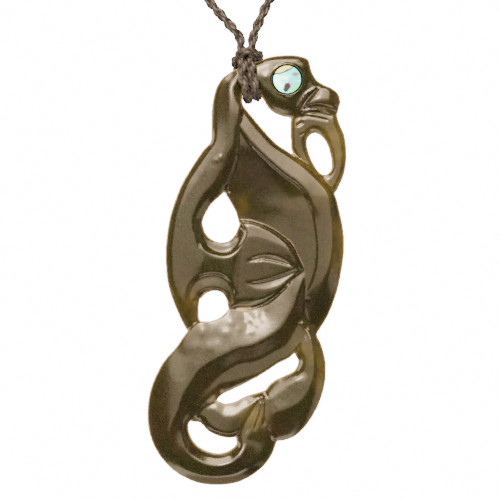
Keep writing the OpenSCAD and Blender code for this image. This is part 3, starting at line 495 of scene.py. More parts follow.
DISH_LOWER = [
    (-10.9, -5.6, 3.2, 0.22, 2.7, 0.85, 2.2, 1.3, -8.4, -6.6),
    (-10.8, -4.3, 3.3, 0.2, 2.6, 0.85, 2.4, 1.5, -8.4, -5.4),
    (-10.3, -2.6, 3.3, 0.18, 2.5, 0.85, 2.5, 1.6, -8.1, -4.4),
    (-9.3, -1.2, 3.3, 0.18, 2.45, 0.85, 2.6, 1.7, -7.5, -3.8),
    (-7.8, -0.2, 3.3, 0.2, 2.4, 0.85, 2.6, 1.8, -6.8, -3.5),
    (-6, 0.1, 3.3, 0.2, 2.35, 0.85, 2.55, 1.8, -5.9, -3.4),
    (-4.1, -0.2, 3.3, 0.22, 2.3, 0.85, 2.5, 1.7, -4.9, -3.5),
    (-2.7, -1.2, 3.3, 0.25, 2.3, 0.85, 2.4, 1.6, -4.1, -3.9),
    (-1.8, -2.7, 3.2, 0.28, 2.3, 0.85, 2.2, 1.4, -3.5, -4.8),
    (-1.6, -4.6, 3, 0.3, 2.3, 0.85, 2.1, 1.4, -3.2, -6),
]
LEAF_UPPER = [
    (-0.1, 1.8, 3.2, 0.4, 3, 0.8, 2.9, 2.8, -0.1, 1.6),
    (1, 2.6, 3.2, 0.4, 2.9, 0.8, 2.7, 2.6, 1.2, 1.9),
    (3.2, 3.2, 3.2, 0.4, 2.9, 0.8, 2.6, 2.5, 3.2, 2.05),
    (5.5, 3, 3.2, 0.4, 2.9, 0.8, 2.6, 2.5, 5.4, 1.65),
    (7.1, 2.1, 3.2, 0.4, 2.9, 0.8, 2.6, 2.5, 7, 1.2),
    (8.2, 1, 3, 0.4, 2.8, 0.8, 2.7, 2.6, 8.2, 0.8),
]
LEAF_LOWER = [
    (-0.1, -2, 2.7, 0.3, 2.72, 0.7, 2.74, 2.8, -0.1, -2.3),
    (2, -1.9, 2.48, 0.3, 2.52, 0.7, 2.6, 2.7, 1.7, -3.1),
    (4.3, -1.4, 2.36, 0.3, 2.45, 0.7, 2.58, 2.7, 4, -3.2),
    (6.4, -0.7, 2.36, 0.3, 2.45, 0.7, 2.58, 2.7, 6.3, -2.5),
    (8.2, 0, 2.45, 0.3, 2.5, 0.7, 2.6, 2.75, 8.1, -0.9),
    (9.8, 0.6, 2.4, 0.3, 2.5, 0.7, 2.7, 2.8, 9.8, 0.2),
]
# The nostril's crescent and the mouth, each one stroke of a pointed burr
NOSTRIL = [
    (8.7, 28, 2.6, 0.4, 1.8, 0.6, 1.8, 2.5, 9.1, 27.8),
    (9.5, 29.4, 2.7, 0.5, 1.7, 0.6, 1.7, 2.8, 10.2, 28.9),
    (10.5, 30.8, 2.7, 0.5, 1.7, 0.6, 1.75, 3, 11.4, 30),
    (11.6, 31.8, 2.7, 0.5, 1.8, 0.6, 1.8, 3, 12.3, 31),
    (12.9, 32.6, 2.6, 0.4, 1.9, 0.6, 1.9, 2.8, 13.1, 32.1),
]
MOUTH = [
    (9, 28.2, 2.6, 0.4, 2, 0.6, 2, 2.4, 9.2, 27.5),
    (10.8, 29, 2.8, 0.5, 1.9, 0.65, 1.8, 2.4, 11.2, 28.3),
    (12.6, 29.2, 2.9, 0.5, 1.85, 0.65, 1.75, 2.4, 12.9, 28.3),
    (14.4, 28.8, 2.8, 0.5, 1.7, 0.65, 1.65, 2.3, 14.4, 27.9),
    (16, 28.2, 2.4, 0.5, 1.3, 0.65, 1.3, 1.9, 15.7, 27.3),
]
# Low dents and swellings left by hand polishing: place, radius and height
DENTS = [
    (-1.5, -7.8, 0.6, 0.05), (-0.6, -8.6, 0.5, -0.05), (0.3, -7.4, 0.6, 0.06), (0.9, -8.4, 0.5, 0.06),
    (1.8, -7.6, 0.5, -0.05), (1.6, -9.2, 0.6, 0.05), (0.2, -9.5, 0.7, -0.06), (-1.1, -9.9, 0.6, 0.05),
    (2.6, -8.4, 0.5, 0.05), (-2.5, -8.9, 0.7, 0.04), (3.3, -7.2, 0.6, -0.04), (0.8, -10.5, 0.6, 0.05),
    (-7.6, -10.6, 0.9, 0.06), (-5.2, -11.6, 1, -0.05), (-3.6, -10.8, 0.8, 0.05), (-9, -13, 1.1, 0.05),
    (-6.3, -13.2, 1, 0.05), (-11.4, -14.6, 1, -0.04), (-4.7, 19.6, 0.5, 0.05), (-5.4, 18.6, 0.5, -0.02),
    (3.3, 33.8, 0.45, 0.09), (-5.3, 19.3, 0.4, 0.11), (-4.6, 19.9, 0.3, 0.09),
]
# Grooves cut with a fine burr: depth, width, and the points that they pass. A depth below 0 is a raised crest.
GROOVES = [
    (-0.25, 0.16, [(8.8, 28.2), (9.6, 29.8), (10.6, 31.1), (12.8, 32.3)]),
    (0.28, 0.22, [(9.6, 27.4), (10.9, 27.8), (11.9, 27.7), (13.5, 27.4), (15, 26.9)]),
    (0.2, 0.2, [(9.4, 26.8), (10.5, 27), (11.6, 26.9), (12.7, 26.7), (14.4, 26.3)]),
    (0.25, 0.22, [(8.7, 25.3), (9.9, 26.1)]),
    (0.12, 0.1, [(9.3, 23.7), (10.2, 24.2)]),
    (0.12, 0.1, [(10.9, 24.1), (11.2, 24.5)]),
    (0.2, 0.2, [(-3.8, 14.9), (-2.9, 13.8)]),
    (0.14, 0.2, [(2.8, -22.1), (1.2, -24), (-1.7, -28.9)]),
    (0.12, 0.17, [(2.9, -22.3), (1.8, -24.6), (-0.3, -28.4)]),
    (0.12, 0.17, [(2.9, -22.5), (2.4, -24.6), (1.3, -27.8)]),
    (-0.16, 0.12, [(3.1, -22.3), (2.95, -24.4), (2.9, -25.9)]),
    (-0.12, 0.11, [(2.7, -22.4), (1.9, -24.6), (0.6, -27.2)]),
    (0.2, 0.24, [(3.1, -21.5), (3.2, -24.3), (3, -27)]),
    (-0.14, 0.17, [(9.1, -8.8), (10.4, -10.3), (11.6, -12.4)]),
    (-0.15, 0.13, [(9.6, -8.9), (11.2, -9.7)]),
    (0.3, 0.2, [(-2.9, -6.5), (-1.5, -6.4), (0.8, -6.4), (3, -5.7), (4.9, -4.5), (6.9, -2.6)]),
]
# Where light shining through the stone is painted as a warm glow, and where shade is painted dark: place, half
# width and half height, and how much
PAINTED_GLOW_PATCHES = [
    (-0.6, 11, 1.2, 2.4, 0.45), (10.6, -13.6, 2.2, 3, 0.75), (-9, -6, 2.2, 3, 0.7),
    (14.6, 20.6, 4.5, 6.5, 1), (14.8, 15.4, 2.4, 2.6, 0.8), (9.4, 20.4, 1.5, 3.4, 0.7),
    (-4.6, -22.2, 1.6, 1.2, 0.8), (1.2, -24.8, 2, 3, 0.7), (16.6, 3, 1.6, 9, 0.8),
    (13.4, -18, 1.5, 7, 0.8), (-12.6, -7, 1.4, 4, 0.4),
]
PAINTED_SHADE_PATCHES = [
    (2.5, 18, 5, 4.5, 0.7), (10.5, 29.5, 2.5, 3, 0.6), (9, 22.5, 1.1, 2.6, 0.5),
    (12.4, 25.6, 2.2, 0.9, 0.45), (12, -6, 3.5, 4, 0.7), (-7, 16, 2, 6, 0.4),
    (0.5, -34.5, 6, 2, 0.6),
]
# The eye's pocket and the low collar round it, as radii and heights
EYE_X, EYE_Z = 7.1, 33.4
EYE_RIM_H, EYE_POCKET, EYE_SEAT_H = 2.85, 2.58, 1.95
COLLAR, COLLAR_SLOPE, COLLAR_REACH = 2.78, 1.6, 2
# How deep each part goes behind the middle, and how the back's edges are bevelled and all edges rounded
HEAD_BACK, LIP_BACK, NAPE_BACK, BEAK_BACK, BODY_BACK = 2.2, 2.0, 1.8, 1.56, 2.6
EDGE_BACK, BACK_BEVEL, BEVEL_FALL = 1.2, 1.1, 0.62
FRONT_EDGE, BACK_EDGE = 0.25, 0.7
# The grid on which the relief is worked out, and how finely each limb and groove is laid on it
CELL = 0.1
GRID_X = np.arange(-18.6, 18.6, CELL)
GRID_Z = np.arange(-38.4, 39.0, CELL)
ALONG, ACROSS, GROOVE_STEPS = 60, 170, 8
# How far the relief, its outline, and the front and back that are carried past the outline are blurred
WHOLE_SOFT, OUTLINE_SOFT, FRONT_CARRY, BACK_CARRY = 0.11, 0.16, 0.5, 0.6
BLUR_REACH, OUTLINE_REACH = 3, 2.5
# The height of a cell without stone, the height far past the outline, and how far the front and back carry on
NO_STONE, PAST_H, FRONT_PAST, BACK_PAST = -9.0, 1.2, 1.0, 1.2
# How a groove thins out to its ends
GROOVE_TAPER, GROOVE_ROUND = 6, 0.7


def widened(field, axis, more, **filling):
    """A field with more cells at both ends of one axis, which comes first."""
    ends = [(more, more) if a == axis else (0, 0) for a in (0, 1)]
    return np.moveaxis(np.pad(field, ends, **filling), axis, 0)


def softened(field, reach):
    """A field of the grid, blurred over that many millimetres."""
    far = int(BLUR_REACH * reach / CELL) + 1
    weights = np.exp(-0.5 * (np.arange(-far, far + 1) * CELL / reach) ** 2)
    weights /= weights.sum()
    for axis in (0, 1):
        wide = widened(field, axis, far, mode="edge")
        total = sum(w * wide[k:k + field.shape[axis]] for k, w in enumerate(weights))
        field = np.moveaxis(total, 0, axis)
    return field


def limb_heights(rows, loop, outer, inner, soft):
    """How high one limb's front stands over each cell, and which cells it covers. Its two sides rise from the
    rims in a straight bevel at 1 and a quarter round at 2."""
    line = eased(rows, ALONG, loop)
    share = np.linspace(0, 1, ACROSS)
    out_x, out_z, *profile, in_x, in_z = [line[:, k:k + 1] for k in range(line.shape[1])]
    shares = [0, *profile[1:-1:2], 1]
    heights = [profile[0], *profile[2:-1:2], profile[-1]]
    height = heights[0] + 0 * share
    for k in range(len(shares) - 1):
        part = np.clip((share - shares[k]) / (shares[k + 1] - shares[k]), 0, 1)
        if k == 0:
            part = (1 - (1 - part) ** outer) ** (1 / outer)
        if k == len(shares) - 2:
            part = 1 - (1 - part**inner) ** (1 / inner)
        height = height + (heights[k + 1] - heights[k]) * part
    x, z = out_x + (in_x - out_x) * share, out_z + (in_z - out_z) * share
    found = np.full(cell_x.shape, NO_STONE)
    cells = np.rint((z - GRID_Z[0]) / CELL).astype(int), np.rint((x - GRID_X[0]) / CELL).astype(int)
    np.maximum.at(found, cells, height)
    covered = found > NO_STONE
    weight = softened(covered.astype(float), soft)
    return softened(np.where(covered, found, 0.0), soft) / np.maximum(weight, 1e-6), covered


def outline_distance(covered):
    """Distance to the outline in millimetres, below 0 inside the stone."""
    reach = int(OUTLINE_REACH / CELL)
    most = float(reach) ** 2

    def nearest(ground):
        far = np.where(ground, 0.0, most)
        for axis in (0, 1):
            wide = widened(far, axis, reach, constant_values=most)
            best = np.full_like(wide[:far.shape[axis]], most)
            for k in range(2 * reach + 1):
                np.minimum(best, wide[k:k + len(best)] + (k - reach) ** 2, out=best)
            far = np.moveaxis(best, 0, axis)
        return np.sqrt(far)

    return (nearest(covered) - nearest(~covered)) * CELL


def path_distance(points):
    """Distance of each cell from a line through the points, and how far along it that is, from 0 to 1."""
    line = eased(points, GROOVE_STEPS)
    best = np.full(cell_x.shape, np.inf)
    along = np.zeros(cell_x.shape)
    for k, (start, end) in enumerate(zip(line[:-1], line[1:])):
        run = end - start
        t = np.clip(((cell_x - start[0]) * run[0] + (cell_z - start[1]) * run[1]) / (run @ run), 0, 1)
        far = np.hypot(cell_x - start[0] - run[0] * t, cell_z - start[1] - run[1] * t)
        along = np.where(far < best, (k + t) / (len(line) - 1), along)
        best = np.minimum(best, far)
    return best, along


cell_x, cell_z = np.meshgrid(GRID_X, GRID_Z)
# Each limb with its depth behind the middle, how round its two sides are, and how soft its crests are
LIMBS = [
    (ARM, BODY_BACK, 1.7, 1.5, 0.25), (PALM, BODY_BACK, 1, 1, 0.15), (HAND, BODY_BACK, 1, 1, 0.08),
    (CHEST, BODY_BACK, 1, 1, 0.30), (BAND, BODY_BACK, 1.1, 1, 0.25), (SWEEP, BODY_BACK, 1.12, 1.3, 0.16),
    (TAIL_LEAF, BODY_BACK, 1.2, 1.2, 0.15), (TAIL_LOBE, BODY_BACK, 1.4, 1.3, 0.18),
    (HEAD, HEAD_BACK, 2, 1.4, 0.35), (NAPE, NAPE_BACK, 2, 2, 0.30), (BEAK, BEAK_BACK, 2, 2, 0.20),
    (LIP, LIP_BACK, 2, 1.6, 0.18),
]
# Each cut with how soft it is
CUTS = [
    (DISH_UPPER, 0.12), (DISH_LOWER, 0.10), (LEAF_UPPER, 0.05), (LEAF_LOWER, 0.05), (NOSTRIL, 0.05), (MOUTH, 0.05),
]
front = np.full(cell_x.shape, NO_STONE)
back = np.zeros(cell_x.shape)
for rows, depth, outer, inner, soft in LIMBS:
    height, covered = limb_heights(rows, rows is BEAK, outer, inner, soft)
    front = np.where(covered, np.maximum(front, height), front)
    back = np.where(covered, np.maximum(back, depth), back)
for rows, soft in CUTS:
    height, covered = limb_heights(rows, False, 1, 1, soft)
    front = np.where(covered & (front > NO_STONE), np.minimum(front, height), front)
for x, z, radius, height in DENTS:
    front += height * np.exp(-((cell_x - x) ** 2 + (cell_z - z) ** 2) / radius**2)
stone_cells = front > NO_STONE + 1
edge = softened(outline_distance(stone_cells), OUTLINE_SOFT)


def carried_out(field, reach):
    """A field of the stone, softened and carried on past its outline."""
    weight = softened(stone_cells.astype(float), reach)
    return softened(np.where(stone_cells, field, 0.0), reach) / np.maximum(weight, 1e-9)


past = carried_out(front, FRONT_CARRY)
front = np.where(stone_cells, front, np.where(edge < FRONT_PAST, past, PAST_H))
front = softened(front, WHOLE_SOFT)
back = np.where(edge < BACK_PAST, carried_out(back, BACK_CARRY), BODY_BACK)
from_eye = np.hypot(cell_x - EYE_X, cell_z - EYE_Z)
collar = EYE_RIM_H - COLLAR_SLOPE * np.maximum(from_eye - COLLAR, 0)
front = np.where(from_eye < COLLAR + COLLAR_REACH, np.maximum(front, collar), front)
front = np.where(from_eye < COLLAR, EYE_RIM_H, front)
for depth, width, points in GROOVES:
    far, along = path_distance(points)
    ends = np.clip(np.minimum(along, 1 - along) * GROOVE_TAPER, 0, 1) ** GROOVE_ROUND
    front -= depth * ends * np.exp(-(far / width) ** 2)

# The solid stone between its relief, its back and its outline, skinned as one closed surface with a point to
# every second cell and every 0.3 mm of depth
STEP_XZ, STEP_Y = 2, 0.3
FRONT_MOST, BACK_MOST = -3.9, 3.1
KEPT_SHARE = 0.72
level_y = np.arange(FRONT_MOST, BACK_MOST, STEP_Y)


def joined(a, b, ease):
    """The higher of two fields, with the edge between them rounded."""
    return np.maximum(a, b) + np.maximum(ease - np.abs(a - b), 0) ** 2 / (4 * ease)


def slope_of(field):
    """How much longer the surface is than its ground."""
    down, right = np.gradient(field, CELL)
    return np.sqrt(1 + down**2 + right**2)


thin = (slice(None, None, STEP_XZ),) * 2
flat = {name: field[thin][..., None] for name, field in {
    "front": front, "tilt": slope_of(front), "back": back, "edge": edge, "from_eye": from_eye}.items()}
high = -level_y[None, None, :]
face = (high - flat["front"]) / flat["tilt"]
plain = -high - flat["back"]
bevel = (-high - EDGE_BACK + flat["edge"] * (flat["back"] - EDGE_BACK) / BACK_BEVEL) * BEVEL_FALL
body = joined(joined(face, flat["edge"], FRONT_EDGE), joined(plain, bevel, BACK_EDGE), BACK_EDGE)
pocket = np.maximum(flat["from_eye"] - EYE_POCKET, EYE_SEAT_H - high)
body = np.maximum(body, -pocket)


def skinned(field, low, steps):
    """The zero surface of a field on a grid, as points and four-cornered faces turned outwards."""
    inside = field < 0
    corners = [(i, j, k) for i in (0, 1) for j in (0, 1) for k in (0, 1)]
    sizes = [n - 1 for n in field.shape]
    part = {c: inside[c[0]:c[0] + sizes[0], c[1]:c[1] + sizes[1], c[2]:c[2] + sizes[2]] for c in corners}
    count = sum(p.astype(np.int8) for p in part.values())
    cells = np.argwhere((count > 0) & (count < 8))
    values = {c: field[tuple((cells + c).T)] for c in corners}
    total, hits = np.zeros((len(cells), 3)), np.zeros(len(cells))
    for a in corners:
        for axis in (0, 1, 2):
            if a[axis]:
                continue
            b = tuple(v + (n == axis) for n, v in enumerate(a))
            crossing = (values[a] < 0) != (values[b] < 0)
            share = values[a] / np.where(crossing, values[a] - values[b], 1)
            point = np.array(a, float) + np.eye(3)[axis] * share[:, None]
            total += np.where(crossing[:, None], point, 0)
            hits += crossing
    points = (cells + total / hits[:, None]) * steps + low
    number = np.full(sizes, -1)
    number[tuple(cells.T)] = np.arange(len(cells))
    faces = []
    for axis in (0, 1, 2):
        step = np.eye(3, dtype=int)[axis]
        first = inside[tuple(slice(0, n - s) for n, s in zip(inside.shape, step))]
        second = inside[tuple(slice(s, n) for n, s in zip(inside.shape, step))]
        u, v = np.eye(3, dtype=int)[(axis + 1) % 3], np.eye(3, dtype=int)[(axis + 2) % 3]
        at = np.argwhere(first != second)
        at = at[(at @ u > 0) & (at @ v > 0)]
        around = [number[tuple((at - o).T)] for o in (u + v, v, 0 * u, u)]
        quads = np.column_stack(around)
        leaving = first[tuple(at.T)]
        faces.append(np.where(leaving[:, None], quads, quads[:, ::-1]))
    return points, np.vstack(faces)


points, faces = skinned(body, (GRID_Z[0], GRID_X[0], level_y[0]), (CELL * STEP_XZ, CELL * STEP_XZ, STEP_Y))
carved = bpy.data.meshes.new("whole_skin")
carved.from_pydata(points[:, [1, 2, 0]] * MM + np.array(middle), [], faces)
carved.validate()
carved.shade_smooth()
# The flat back and the straight walls need few faces, so they give theirs up first
carving = shown("whole_skin", carved)
carving.modifiers.new("fewer", "DECIMATE").ratio = KEPT_SHARE
carved = plain_mesh(carving)
carved.name = "carved_stone"
placed = np.empty(len(carved.vertices) * 3)
carved.vertices.foreach_get("co", placed)
points = ((placed.reshape(-1, 3) - np.array(middle)) / MM)[:, [2, 0, 1]]


def sampled(field):
    """A field of the grid, read at each point of the stone's skin."""
    row, col = (points[:, 0] - GRID_Z[0]) / CELL, (points[:, 1] - GRID_X[0]) / CELL
    i, j = np.clip(row.astype(int), 0, len(GRID_Z) - 2), np.clip(col.astype(int), 0, len(GRID_X) - 2)
    u, v = row - i, col - j
    return (field[i, j] * (1 - u) * (1 - v) + field[i + 1, j] * u * (1 - v)
            + field[i, j + 1] * (1 - u) * v + field[i + 1, j + 1] * u * v)


def patched(patches):
    """How much the patches change the stone at each cell."""
    return np.max([much * np.exp(-((cell_x - x) / wide) ** 2 - ((cell_z - z) / tall) ** 2)
                   for x, z, wide, tall, much in patches], axis=0)


# The warm and dark patches are painted glow and painted shade, carried onto the skin as attributes
measures = {name: sampled(field) for name, field in {
    "thickness": front + back, "from_edge": -edge, "warm": patched(PAINTED_GLOW_PATCHES), "dark": patched(PAINTED_SHADE_PATCHES),
    "below": front}.items()}
measures["below"] += points[:, 2]
for name, values in measures.items():
    carved.attributes.new(name, "FLOAT", "POINT").data.foreach_set("value", values.astype(np.float32))

# The glow, rim and amber colours are painted light, for light shining through the thin stone and catching its
# edges; the deepest colour is both the dark flecks and painted shade.
JADE_FLECK_AND_SHADE, JADE_OLIVE, JADE_MOSS = (0.012, 0.010, 0.003), (0.024, 0.020, 0.006), (0.020, 0.024, 0.004)
JADE_GLOW, JADE_RIM_GLOW, JADE_AMBER_EDGE_LIGHT = (0.12, 0.10, 0.018), (0.072, 0.062, 0.014), (0.50, 0.38, 0.22)
JADE_BROWN = (0.034, 0.020, 0.008)
# How fine each pattern in the stone is, in waves to the metre, and how high the polish's ripples and scuffs are
CLOUDS, STAINS, FLECKS, RIPPLES, SCUFFS = 160.0, 260.0, 900.0, 420.0, 2600.0
RIPPLE_RISE, SCUFF_RISE = 0.05 * MM, 0.01 * MM


def nephrite():
    """Polished nephrite: olive clouds, brown stains and dark flecks, with painted light and shade: a yellow-green
    glow of light through the stone where it is thin, a lighter rim and amber edge light along the outline, and dark
    patches of shade.
    """
    made, tree, shader = finish_of("polished_nephrite", {
        "Subsurface Weight": 0.3, "Subsurface Radius": (1.0, 0.7, 0.3), "Subsurface Scale": 0.0012,
        "IOR": 1.62, "Coat Weight": 0.35, "Coat Roughness": 0.1})
    where = add(tree, "ShaderNodeTexCoord").node.outputs["Object"]
    clouds = cloudy(tree, where, CLOUDS, 3.0, 0.55)
    flecks = cloudy(tree, where, FLECKS, 4.0, 0.6)
    colour = blended(tree, spread(tree, clouds, 0.35, 0.65), JADE_OLIVE, JADE_MOSS)
    stains = cloudy(tree, where, STAINS, 4.0, 0.6)
    colour = blended(tree, spread(tree, stains, 0.5, 0.72, 0.0, 0.8), colour, JADE_BROWN)
    colour = blended(tree, spread(tree, flecks, 0.48, 0.7, 0.0, 0.6), colour, JADE_FLECK_AND_SHADE)
    # Painted glow: the colour turns yellow-green where the stone is thin or a glow patch lies, standing in for
    # light shining through it
    painted_thin_glow = spread(tree, measured(tree, "thickness"), 4.3, 2.5)
    glow = maths(tree, "MAXIMUM", painted_thin_glow, measured(tree, "warm"))
    colour = blended(tree, maths(tree, "MULTIPLY", glow, spread(tree, stains, 0.68, 0.36, 0.3, 1.0)), colour,
                     JADE_GLOW)
    # Painted shade: darker patches where recesses and slopes turn away from the light
    colour = blended(tree, measured(tree, "dark"), colour, JADE_FLECK_AND_SHADE)
    # Painted glow: a lighter rim within a millimetre of the outline, for light coming through the thin edge
    colour = blended(tree, spread(tree, measured(tree, "from_edge"), 1.1, 0.1, 0.0, 0.3), colour, JADE_RIM_GLOW)
    # Painted light: an amber line along the front edge of the outline, for light shining through and glancing off
    # the rounded edge
    painted_edge_light = maths(tree, "MULTIPLY", spread(tree, measured(tree, "from_edge"), 0.4, 0.0, 0.0, 0.9),
                  spread(tree, measured(tree, "below"), 0.7, 0.2))
    colour = blended(tree, painted_edge_light, colour, JADE_AMBER_EDGE_LIGHT)
    tree.links.new(colour, shader.inputs["Base Color"])
    scuffs = cloudy(tree, where, SCUFFS, 5.0, 0.7)
    tree.links.new(spread(tree, scuffs, 0.3, 0.75, 0.15, 0.28), shader.inputs["Roughness"])
    waves = cloudy(tree, where, RIPPLES, 2.0)
    raised = add(tree, "ShaderNodeBump", {"Strength": 0.6, "Distance": RIPPLE_RISE, "Height": waves})
    raised = add(tree, "ShaderNodeBump",
                 {"Strength": 0.07, "Distance": SCUFF_RISE, "Height": scuffs, "Normal": raised})
    tree.links.new(raised, shader.inputs["Normal"])
    return made


carved.materials.append(nephrite())
stone = shown("carved_stone", carved)
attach(stone, "root")
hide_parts("jade_manaia")

# The shell eye
# A round disc of polished abalone shell, sawn flat and ground to a low dome in front. It is let into a pocket in
# the head, and its edge is a thin dark ring.
EYE, EYE_EASE, EYE_DOME, SEAT_GAP = 2.5, 0.16, 0.1, 0.05
TURNS, EASE_ANGLES, DOME_SHARES = 96, np.arange(15, 91, 15), np.linspace(0.92, 0.08, 12)
profile = [(EYE, EYE_SEAT_H + SEAT_GAP), (EYE, EYE_RIM_H - EYE_EASE)]
profile += [(EYE - EYE_EASE * (1 - math.cos(a)), EYE_RIM_H - EYE_EASE * (1 - math.sin(a)))
            for a in np.radians(EASE_ANGLES)]
inner = profile[-1][0]
profile += [(inner * s, EYE_RIM_H + EYE_DOME * (1 - s * s)) for s in DOME_SHARES]
spin = np.linspace(0, math.tau, TURNS, endpoint=False)
ring_points = [(r * math.cos(a), -h, r * math.sin(a)) for r, h in profile for a in spin]
ring_points += [(0, -profile[0][1], 0), (0, -EYE_RIM_H - EYE_DOME, 0)]
bottom, top = len(ring_points) - 2, len(ring_points) - 1
last = (len(profile) - 1) * TURNS
disc_faces = [(n * TURNS + k, (n + 1) * TURNS + k, (n + 1) * TURNS + (k + 1) % TURNS, n * TURNS + (k + 1) % TURNS)
              for n in range(len(profile) - 1) for k in range(TURNS)]
disc_faces += [(bottom, k, (k + 1) % TURNS) for k in range(TURNS)]
disc_faces += [(top, last + (k + 1) % TURNS, last + k) for k in range(TURNS)]
shell = bpy.data.meshes.new("shell_disc")
eye_middle = np.array(middle) + np.array((EYE_X, 0, EYE_Z)) * MM
shell.from_pydata((np.array(ring_points) * MM + eye_middle).tolist(), [], disc_faces)
shell.update()
shell.shade_smooth()

SHELL_AQUA, SHELL_WHITE, SHELL_MINT = (0.01, 0.56, 0.80), (0.30, 0.90, 1.0), (0.04, 0.66, 0.14)
SHELL_CREAM, SHELL_TAN, SHELL_DARK = (0.36, 0.40, 0.12), (0.12, 0.12, 0.07), (0.014, 0.009, 0.010)
SHELL_VIOLET, SHELL_EDGE_RING = (0.15, 0.25, 0.80), (0.008, 0.016, 0.014)
# How the layers slant under the polish, and how fine their wobble and their bands are, in waves to the millimetre
SLANT, WOBBLE, BANDS = 0.27, 1.6, 1.1
# The thin dark ring at the disc's edge: its middle, and the radii between which the shell gives way to it
RIM_X, RIM_Z, RIM_IN, RIM_OUT = -0.06, 0.04, 2.40, 2.47
# Blots of colour: place, half width and half height, how soft, how strong and the colour
LOWER_BLOTS = [
    (-1.9, 0.2, 0.8, 1.0, 1.2, 0.8, SHELL_WHITE), (1.3, -1.6, 1.1, 0.8, 1.0, 0.95, SHELL_MINT),
    (-1.9, -1.3, 0.5, 0.6, 1.0, 0.8, SHELL_MINT),
]
UPPER_BLOTS = [
    (1.45, 0.95, 0.6, 0.36, 0.9, 1.0, SHELL_TAN), (0.35, -1.0, 0.5, 0.75, 0.8, 1.0, SHELL_VIOLET),
    (-0.02, -1.25, 0.5, 0.75, 0.6, 1.0, SHELL_DARK), (-0.22, -1.7, 0.46, 0.6, 0.6, 1.0, SHELL_DARK),
]


def abalone():
    """Polished abalone: soft bands of aqua and white, mint below, a cream cap with a dark line, and small spots."""
    made, tree, shader = finish_of("polished_abalone", {
        "Metallic": 0.85, "Roughness": 0.32, "Coat Weight": 0.3, "Coat Roughness": 0.05})
    object_place = add(tree, "ShaderNodeTexCoord").node.outputs["Object"]
    where = add(tree, "ShaderNodeMapping", {"Vector": object_place, "Location": tuple(-eye_middle * TO_MM),
                                            "Scale": (TO_MM,) * 3})
    part = add(tree, "ShaderNodeSeparateXYZ", (where,)).node
    x, z = part.outputs["X"], part.outputs["Z"]
    shift = spread(tree, cloudy(tree, where, WOBBLE, 3.0), 0.2, 0.8, -0.5, 0.5)

    def away(at_x, at_z, wide=1.0, tall=1.0):
        """How far each spot lies from a place, in half widths and half heights."""
        return maths(tree, "SQRT", maths(tree, "ADD", *(
            maths(tree, "POWER", maths(tree, "DIVIDE", maths(tree, "SUBTRACT", along, at), size), 2.0)
            for along, at, size in ((x, at_x, wide), (z, at_z, tall)))))

    def blotted(colour, blots):
        """A colour with soft blots laid over it."""
        for at_x, at_z, wide, tall, soft, strength, tone in blots:
            far = maths(tree, "ADD", away(at_x, at_z, wide, tall), maths(tree, "MULTIPLY", shift, 0.5))
            share = maths(tree, "MULTIPLY", spread(tree, far, 1 + soft / 2, 1 - soft / 2), strength)
            colour = blended(tree, share, colour, tone)
        return colour

    bands = cloudy(tree, add(tree, "ShaderNodeMapping", {"Vector": where, "Rotation": (0, 0.6, 0),
                                                         "Scale": (0.5, 1, 1.3)}), BANDS, 2.0)
    colour = blended(tree, spread(tree, bands, 0.48, 0.72), SHELL_AQUA, SHELL_WHITE)
    colour = blotted(colour, LOWER_BLOTS)
    # The cap's edge falls to the left in a shallow curve
    height = maths(tree, "SUBTRACT", maths(tree, "ADD", z, maths(tree, "MULTIPLY", shift, 0.15)),
                   maths(tree, "MULTIPLY", x, maths(tree, "ADD", maths(tree, "MULTIPLY", x, 0.1), 0.5)))
    colour = blended(tree, spread(tree, height, 1.66, 1.78), colour, SHELL_CREAM)
    line = maths(tree, "MULTIPLY", spread(tree, height, 1.32, 1.48), spread(tree, height, 1.8, 1.66))
    colour = blended(tree, maths(tree, "MULTIPLY", line, 0.95), colour, SHELL_DARK)
    colour = blotted(colour, UPPER_BLOTS)
    colour = blended(tree, spread(tree, away(RIM_X, RIM_Z), RIM_IN, RIM_OUT), colour, SHELL_EDGE_RING)
    tree.links.new(colour, shader.inputs["Base Color"])
    layers = vectors(tree, "ADD", add(tree, "ShaderNodeNewGeometry").node.outputs["Normal"], (0, 0, SLANT))
    tree.links.new(vectors(tree, "NORMALIZE", layers), shader.inputs["Normal"])
    return made


shell.materials.append(abalone())
eye = shown("shell_disc", shell)
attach(eye, "root")
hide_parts("paua_eye")

# The studio
# A pale round table far below, white all round, a dim wall behind the camera, soft boxes stacked above it that
# grow brighter as they go up, a card below, cards and a strip at the sides, and a pale card behind the stone.
FLOOR_DROP, FLOOR_RADIUS, FLOOR_DEPTH = 700 * MM, 450 * MM, 12 * MM
DOME_RADIUS, DOME_WHITE, SKY = 6.0, 16.0, 0.12
WARM, WARMER = (1.0, 0.8, 0.56), (1.0, 0.74, 0.46)


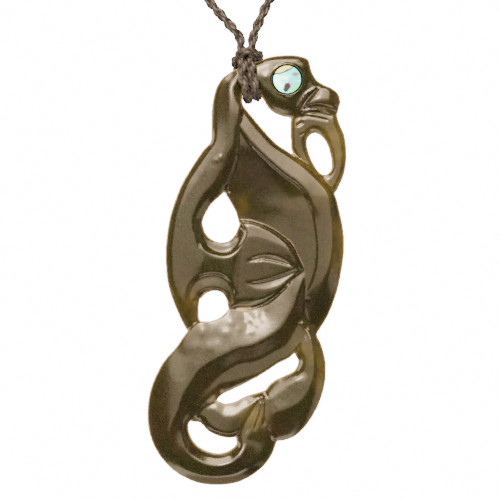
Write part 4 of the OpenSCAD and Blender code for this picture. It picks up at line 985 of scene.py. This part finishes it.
def soft_box(name, aside, above, size, radiance, tint=WARM, far=1.0):
    """An even light seen from the stone at these angles, in degrees right of and above the camera."""
    light = bpy.data.lights.new(name, "AREA")
    light.shape = "RECTANGLE"
    light.size, light.size_y = size
    light.energy = radiance * math.pi * size[0] * size[1]
    light.color = tint
    a, b = math.radians(aside), math.radians(above)
    toward = Vector((math.sin(a) * math.cos(b), -math.cos(a) * math.cos(b), math.sin(b)))
    holder = shown(name, light)
    holder.location = middle + toward * far
    holder.rotation_euler = toward.to_track_quat("Z", "Y").to_euler()
    holder.visible_camera = False


soft_box("front_wall", -10, -0.5, (1.05, 0.27), 1.5)
soft_box("low_box", -7, 15, (1.0, 0.20), 3.3)
soft_box("top_box", -6, 31, (1.1, 0.37), 6.5, WARMER)
soft_box("high_box", -10, 53, (0.8, 0.4), 14, WARMER)
soft_box("hot_strip", -11, 28, (0.20, 0.24), 45, WARMER, far=0.95)
soft_box("lower_card", -24, -60, (1.6, 0.38), 4)
soft_box("left_strip", -80, 10, (0.3, 0.9), 7)
soft_box("right_card", 70, 8, (0.8, 0.9), 0.35)
soft_box("flank_card", 67, -26, (0.46, 0.42), 1.3)
soft_box("rear_card", 180, 10, (2.2, 2.2), 1.2)

bpy.ops.mesh.primitive_cylinder_add(vertices=128, radius=FLOOR_RADIUS, depth=FLOOR_DEPTH,
                                    location=(0, middle.y, stone_low.z - FLOOR_DROP))
floor = bpy.context.object
floor.name = "floor"
floor.data.transform(floor.matrix_world)
floor.matrix_world.identity()
floor.data.materials.append(finish_of("pale_floor", {"Base Color": (0.8, 0.79, 0.77, 1), "Roughness": 0.7})[0])

bpy.ops.mesh.primitive_uv_sphere_add(segments=64, ring_count=32, radius=DOME_RADIUS, location=middle)
dome = bpy.context.object
dome.name = "backdrop"
dome.data.materials.append(finish_of("white_backdrop", {
    "Base Color": (0, 0, 0, 1), "Specular IOR Level": 0,
    "Emission Color": (1, 1, 1, 1), "Emission Strength": DOME_WHITE})[0])
for ray in ("diffuse", "glossy", "transmission", "shadow", "volume_scatter"):
    setattr(dome, "visible_" + ray, False)

world = bpy.data.worlds.new("studio")
bpy.context.scene.world = world
world.use_nodes = True
sky = world.node_tree.nodes["Background"].inputs
sky["Color"].default_value, sky["Strength"].default_value = (0.9, 0.95, 1, 1), SKY
